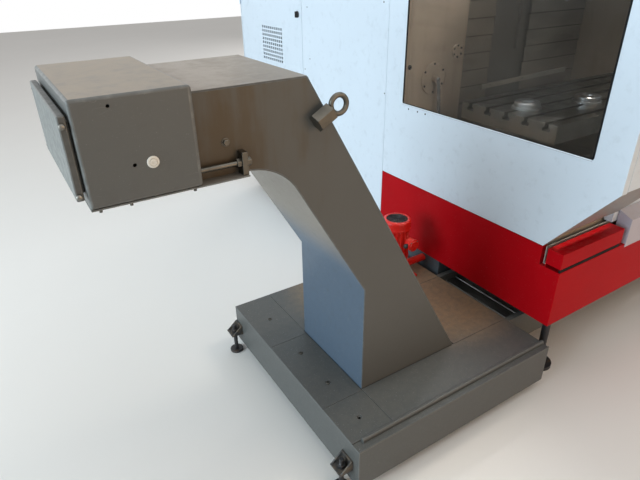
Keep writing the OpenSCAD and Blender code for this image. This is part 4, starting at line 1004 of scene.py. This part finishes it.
class SCENE_OT_console(bpy.types.Operator):
    """Forms the operator console with its bezel, keys, buttons and feed knob."""
    bl_idname = "machining_center.console"
    bl_label = "Operator Console"

    def execute(self, context):
        rounded("console", "console_paint", 0.003)
        rounded("console_screen", "screen_glass", 0.0008)
        section = [(-0.010, -0.001), (-0.009, 0.0015), (0.009, 0.0055), (0.012, 0.0045), (0.012, 0.0),
                   (-0.010, -0.003)]
        border("console_bezel", "console", "black_plastic", section, "console_screen", 0, 0.004, 1,
               span("console_screen")[0][1] + KEY_RISE)
        self.keys()
        self.buttons()
        return {"FINISHED"}

    def keys(self):
        """Two rows of rounded keys under the display, each a rounded box."""
        low = span("console")[0]
        form = Form()
        for column in range(8):
            x = low[0] + 44 + column * 22
            for row in range(2):
                z = low[2] + 26 + row * 22
                form.slab(at(x, low[1] - 2.2, z), at(x + 16, low[1] + 1, z + 15), 0.0015)
        form.piece("console_keys", "console", "key_gray")

    def buttons(self):
        """Turned mushroom, push button and fluted knob in place of the plain nodes."""
        for name, coat, profile, flutes in (
                ("stop_button", "stop_red",
                 [(0, -46), (9, -46), (9, -14), (13, -13), (19, -9), (20, -6), (18.5, -2.6), (13, -0.6), (0, 0)], 0),
                ("start_button", "start_green",
                 [(0, -42), (9, -42), (9, -13.5), (13, -13.5), (13, -1.5), (12, -0.4), (10, 0), (0, -0.5)], 0),
                ("feed_knob", "black_plastic",
                 [(0, -42), (9, -42), (9, -17), (18, -17), (18, -6), (16, -4.5), (14, -4), (0, -4)], 14)):
            low, high = span(name)
            centre = at((low[0] + high[0]) / 2, low[1], (low[2] + high[2]) / 2)
            pointer_height = np.array([0, 6 * MM if flutes else 0, 0])
            form = Form().turned(profile, centre + pointer_height, FRONT, 56, flutes, 1.2)
            if flutes:
                reach = np.array([2.0, 3.0, 16.0]) * MM
                form.slab(centre - reach * (1, 0, 1), centre + reach * (1, 4, 1), 0.001)
            form.piece(name + "_turned", name, coat, name)
            base = centre.copy()
            base[1] = at(0, span("console")[0][1] + KEY_RISE, 0)[1]
            collar = [(9.4, -0.5), (21, -0.5), (21, 0.8), (20, 1.4), (9.4, 1.4), (9.4, -0.5)]
            Form().turned(collar, base, FRONT, 40).piece(
                name + "_collar", "console", "bright_steel")


class SCENE_OT_electrical_cabinet(bpy.types.Operator):
    """Forms the cabinet door, the lock, and the plate with drives and ducts."""
    bl_idname = "machining_center.electrical_cabinet"
    bl_label = "Electrical Cabinet"

    def execute(self, context):
        rounded("cabinet_door", "panel_paint", settings().sheets.fold_radius)
        rounded("cabinet_lock", "dark_steel", 0.0012)
        rounded("drive_plate", "cabinet_zinc", 0.002)
        return {"FINISHED"}


class SCENE_OT_work_area(bpy.types.Operator):
    """Finishes the inside: lining, covers, coolant nozzle, lamp, way guard, bed, saddle and table."""
    bl_idname = "machining_center.work_area"
    bl_label = "Work Area"

    def execute(self, context):
        recoat("lining_sheet", "work_lining")
        recoat("guard_slats", "slat_guard")
        for node in ("bed", "column", "saddle", "headstock"):
            rounded(node, "casting_paint", 0.003)
        rounded("table", "plated_steel", 0.0008)
        recoat("bright_steel", "table_fixtures", "spindle", "tool_holders")
        rounded("magazine_beam", "gray_paint", 0.002)
        rounded("magazine_carriage", "bright_steel", 0.001)
        rounded("tool_disc", "gray_paint", 0.001)
        self.covers()
        self.guard_bar()
        self.nozzle()
        self.lamp()
        return {"FINISHED"}

    def covers(self):
        """Screws round the two round covers on the guard wall."""
        turn = np.arange(6) * math.pi / 3 + math.pi / 2
        places, rings = [], Form()
        for x, z, circle, radius in ((247, 987, 64, 74), (386, 1094, 26, 33)):
            places.append(at(x + circle * np.cos(turn), GUARD_WALL, z + circle * np.sin(turn)))
            rings.turned([(radius + 0.5, 0.4), (radius, 2), (radius - 3, 2.4), (radius - 4, 0.4)],
                         at(x, GUARD_WALL, z), FRONT, 64)
        fasteners("guard_cover_screws", "machine", np.concatenate(places), FRONT, DOME_SCREW, "dark_steel",
                  size=0.85)
        fasteners("guard_wall_plug", "machine", at(98, GUARD_WALL + 4, 1050), FRONT, DOME_SCREW,
                  "dark_steel", 24, size=1.7)
        rings.piece("guard_cover_rims", "machine", "lining_sheet")

    def guard_bar(self):
        """A ground strip screwed across the slats of the way guard."""
        step = np.linspace(0, 1, 12)
        reach = at(807 + 741 * step, 1296, 843 + 18 * step)
        strip = [(-0.013, 0.0), (-0.013, 0.006), (-0.011, 0.008), (0.011, 0.008), (0.013, 0.006), (0.013, 0.0)]
        Form().carried(strip, reach, FRONT).piece("guard_strip", "machine", "rail_steel")
        fasteners("guard_strip_screws", "machine", reach[[1, 5, 8]] + (0, -7 * MM, 0), FRONT, SMALL_SCREW,
                  "plated_steel", size=1.2)

    def nozzle(self):
        """Ball-jointed coolant line: beads of one profile strung along a hanging curve, then a cone."""
        step = np.linspace(0, 1, 11)
        points = at(250 + 22 * step ** 2, 1068 - 8 * np.sin(step * math.pi), 985 - 165 * step)
        bead = [(0, -8), (6, -8), (8, -5), (9.5, 0), (8, 4), (6.5, 6), (6.5, 10), (0, 10)]
        form = Form()
        for here, ahead in zip(points[:-1], points[1:]):
            form.turned(bead, here, ahead - here, 16)
        form.turned([(0, -8), (9, -8), (9, -2), (4.5, 26), (3.2, 26), (3.2, 20), (0, 20)], points[-1],
                    points[-1] - points[-2], 16)
        form.turned([(0, 0), (13, 0), (13, 4), (9, 8), (9, 30), (0, 30)], at(250, 1092, 985), FRONT, 6)
        form.piece("coolant_nozzle", "machine", "hose_gray")

    def lamp(self):
        """A work lamp on the guard wall: a frosted half-round cover in a folded tray."""
        ends = at(np.linspace(60, 400, 12), 1098, 1850)
        turn = np.linspace(0, math.pi, 12)
        cover = np.stack([np.cos(turn) * 0.032, np.sin(turn) * 0.045], -1)
        Form().carried(cover, ends, FRONT).piece("work_lamp_cover", "machine", "lamp_tube")
        tray = [(-0.045, 0.0), (-0.045, 0.028), (-0.042, 0.030), (-0.036, 0.030), (-0.036, 0.006),
                (0.036, 0.006), (0.036, 0.030), (0.042, 0.030), (0.045, 0.028), (0.045, 0.0)]
        Form().carried(tray, at(np.linspace(48, 412, 8), 1099.5, 1850), FRONT).piece(
            "work_lamp_tray", "machine", "panel_paint")


class SCENE_OT_coolant_tank(bpy.types.Operator):
    """Forms the tank, its covers, gutter, brackets and levelling feet."""
    bl_idname = "machining_center.coolant_tank"
    bl_label = "Coolant Tank"

    def execute(self, context):
        fold = settings().sheets.fold_radius
        for node in ("tank", "tank_covers", "tank_rail"):
            rounded(node, "tank_paint", fold, "edge_paint")
        rounded("tank_brackets", "bracket_grime", fold)
        rounded("tank_feet", "dark_steel", 0.0015)
        recoat("gray_paint", "chip_trough")
        places = at(-809, [392, 575, 823], span("tank_covers")[1][2] - 3)
        fasteners("tank_cover_screws", "machine", places, UP, RING_SCREW, "greasy_steel", 24,
                  washer=True)
        return {"FINISHED"}


class SCENE_OT_chip_conveyor(bpy.types.Operator):
    """Forms the conveyor's casing, the hinged belt, the shafts and the take-up rods."""
    bl_idname = "machining_center.chip_conveyor"
    bl_label = "Chip Conveyor"

    def execute(self, context):
        fold = settings().sheets.fold_radius
        for node in ("side_plate_near", "side_plate_far", "arm_lid"):
            rounded(node, "oiled_paint", fold, "edge_paint")
        rounded("throat_plate", "throat_paint", fold, "edge_paint")
        rounded("back_cover", "gray_paint", fold, "edge_paint")
        recoat("slat_steel", "hinge_belt")
        recoat("bright_steel", "drive_shaft", "tail_shaft")
        rounded("take_up_rods", "greasy_steel", 0.001)
        rounded("lifting_eye", "greasy_steel", 0.0012)
        fasteners("arm_side_screw", "machine", at(-1124, 306, 1132), FRONT, HEX_BOLT, "greasy_steel", 6,
                  washer=True)
        low = span("head_box")[0]
        places = at([-1408, -1348, -1213], low[1] + 9, low[2])
        fasteners("head_bolts_under", "machine", places, DOWN, UNDER_BOLT, "greasy_steel", 6)
        return {"FINISHED"}


class SCENE_OT_drive_head(bpy.types.Operator):
    """Forms the conveyor's drive head with its lid, plug, bolts and gearmotor."""
    bl_idname = "machining_center.drive_head"
    bl_label = "Drive Head"

    def execute(self, context):
        sheets = settings().sheets
        rounded("head_box", "gray_paint", sheets.head_radius, "edge_paint", outer_only=True)
        rounded("head_lid", "lid_paint", sheets.slab_radius, "edge_paint")
        rounded("gearmotor", "gray_paint", sheets.slab_radius)
        low, high = span("head_plug")
        centre = at((low[0] + high[0]) / 2, high[1], (low[2] + high[2]) / 2)
        dome = [(0, 0), (10, 0), (10, 2), (12.5, 2), (12.5, 4), (11.6, 5.2), (8.6, 6), (8.2, 4.6), (7.2, 4.4),
                (6.8, 6.4), (3.4, 6.6), (3.0, 5.4), (0, 5.2)]
        Form().turned(dome, centre, FRONT, 40).piece(
            "head_plug_turned", "machine", "plug_white", "head_plug")
        lid_low, lid_high = span("head_lid")
        middle = (lid_low[0] + span("head_box")[0][0]) / 2
        heights = [lid_high[2] - 19, lid_low[2] + 10]
        for name, edge, way in (("near", lid_low[1], FRONT), ("far", lid_high[1], REAR)):
            fasteners("lid_bolts_" + name, "machine", at(middle - 4, edge, heights), way, PLUG_BOLT,
                      "plated_steel", 28, size=0.58)
        return {"FINISHED"}


class SCENE_OT_coolant_pump(bpy.types.Operator):
    """Forms the coolant pump: cowl, grille, terminal box, glands and pipe."""
    bl_idname = "machining_center.coolant_pump"
    bl_label = "Coolant Pump"

    def execute(self, context):
        rounded("pump_body", "pump_paint", 0.0012)
        low, high = span("pump_cowl")
        x, y = (low[0] + high[0]) / 2, (low[1] + high[1]) / 2
        radius, height = (high[0] - low[0]) / 2, high[2] - low[2]
        turn = np.linspace(0, math.pi / 2, 9)
        side = [(0, 0), (radius - 1, 0), (radius, 1), (radius, 6), (radius - 0.8, 7), (radius - 0.8, height - 12)]
        brow = [(radius - 11 + 10.2 * math.cos(t), height - 11 + 11 * math.sin(t)) for t in turn]
        well = [(radius - 14, height), (radius - 15.5, height - 1), (radius - 16, height - 9), (0, height - 9)]
        Form().turned(side + brow + well, at(x, y, low[2]), UP, 64).piece(
            "pump_cowl_spun", "machine", "pump_paint", "pump_cowl")
        self.grille(x, y, high[2], radius - 15)
        self.terminal_box(*span("pump_terminal_box"))
        return {"FINISHED"}

    def grille(self, x, y, top, radius):
        """Pierced fan cover: rings of round wire over a dark disc, held by radial bars."""
        form = Form()
        turn = np.arange(48) * 2 * math.pi / 48
        for ring in np.linspace(9, radius - 3, 6):
            path = at(x + ring * np.cos(turn), y + ring * np.sin(turn), top - 2.5)
            form.carried(tube_section(1.5 * MM), path, UP, closed=True)
        for angle in np.arange(8) * math.pi / 4:
            reach = np.linspace(6, radius, 5)
            path = at(x + reach * math.cos(angle), y + reach * math.sin(angle), top - 4)
            form.carried(tube_section(1.6 * MM), path, UP)
        form.piece("pump_fan_grille", "machine", "dark_steel")
        Form().turned([(0, -1), (radius, -1), (radius, 0.4), (10, 0.6), (9, 2.5), (0, 3)],
                      at(x, y, top - 9), UP, 40).piece(
            "pump_fan_disc", "machine", "black_plastic")

    def terminal_box(self, low, high):
        """A round box with a stepped lid, four screws and a cable gland."""
        x, z = (low[0] + high[0]) / 2, (low[2] + high[2]) / 2
        radius, deep = (high[0] - low[0]) / 2, high[1] - low[1]
        profile = [(0, 0), (radius - 2, 0), (radius - 2, deep - 12), (radius, deep - 12), (radius, deep - 5),
                   (radius - 1.5, deep - 3.5), (radius - 6, deep - 3), (radius - 7, deep), (0, deep)]
        Form().turned(profile, at(x, high[1], z), FRONT, 48).piece(
            "pump_terminal_box_cast", "machine", "pump_paint", "pump_terminal_box")
        turn = np.arange(4) * math.pi / 2 + math.pi / 4
        places = at(x + (radius - 4) * np.cos(turn), low[1] + 3, z + (radius - 4) * np.sin(turn))
        fasteners("terminal_box_screws", "machine", places, FRONT, SMALL_SCREW, size=0.8)
        gland = [(0, -4), (9, -4), (9, 4), (11, 4), (11, 10), (8.5, 13), (6, 14), (6, 16), (0, 16)]
        Form().turned(gland, at(x - radius + 3, (low[1] + high[1]) / 2 + 2, z), LEFT, 12).piece(
            "pump_cable_gland", "machine", "black_plastic")


class VIEW3D_PT_machining_center(bpy.types.Panel):
    """Lists the pieces and the sizes in the 3D view's sidebar."""
    bl_label = "Machining Center"
    bl_space_type = "VIEW_3D"
    bl_region_type = "UI"
    bl_category = "Machining Center"

    def draw(self, context):
        for group in ("colours", "sheets", "gasket", "stage"):
            held = getattr(context.scene.machining_center, group)
            box = self.layout.box()
            for name in held.bl_rna.properties.keys():
                if name not in ("rna_type", "name"):
                    box.prop(held, name)
        for operator in OPERATORS:
            self.layout.operator(operator.bl_idname)


OPERATORS = (SCENE_OT_studio, SCENE_OT_enclosure, SCENE_OT_side_window, SCENE_OT_red_base,
             SCENE_OT_front_door, SCENE_OT_console, SCENE_OT_electrical_cabinet, SCENE_OT_work_area,
             SCENE_OT_coolant_tank, SCENE_OT_chip_conveyor, SCENE_OT_drive_head, SCENE_OT_coolant_pump)
CLASSES = (FinishColours, SheetSizes, GasketSizes, StageSizes, MachiningCenterSettings,
           *OPERATORS, VIEW3D_PT_machining_center)


def register():
    for cls in CLASSES:
        bpy.utils.register_class(cls)
    bpy.types.Scene.machining_center = PointerProperty(type=MachiningCenterSettings)


def unregister():
    del bpy.types.Scene.machining_center
    for cls in reversed(CLASSES):
        bpy.utils.unregister_class(cls)


def main():
    register()
    for operator in OPERATORS:
        group, name = operator.bl_idname.split(".")
        getattr(getattr(bpy.ops, group), name)()


if __name__ == "__main__":
    main()
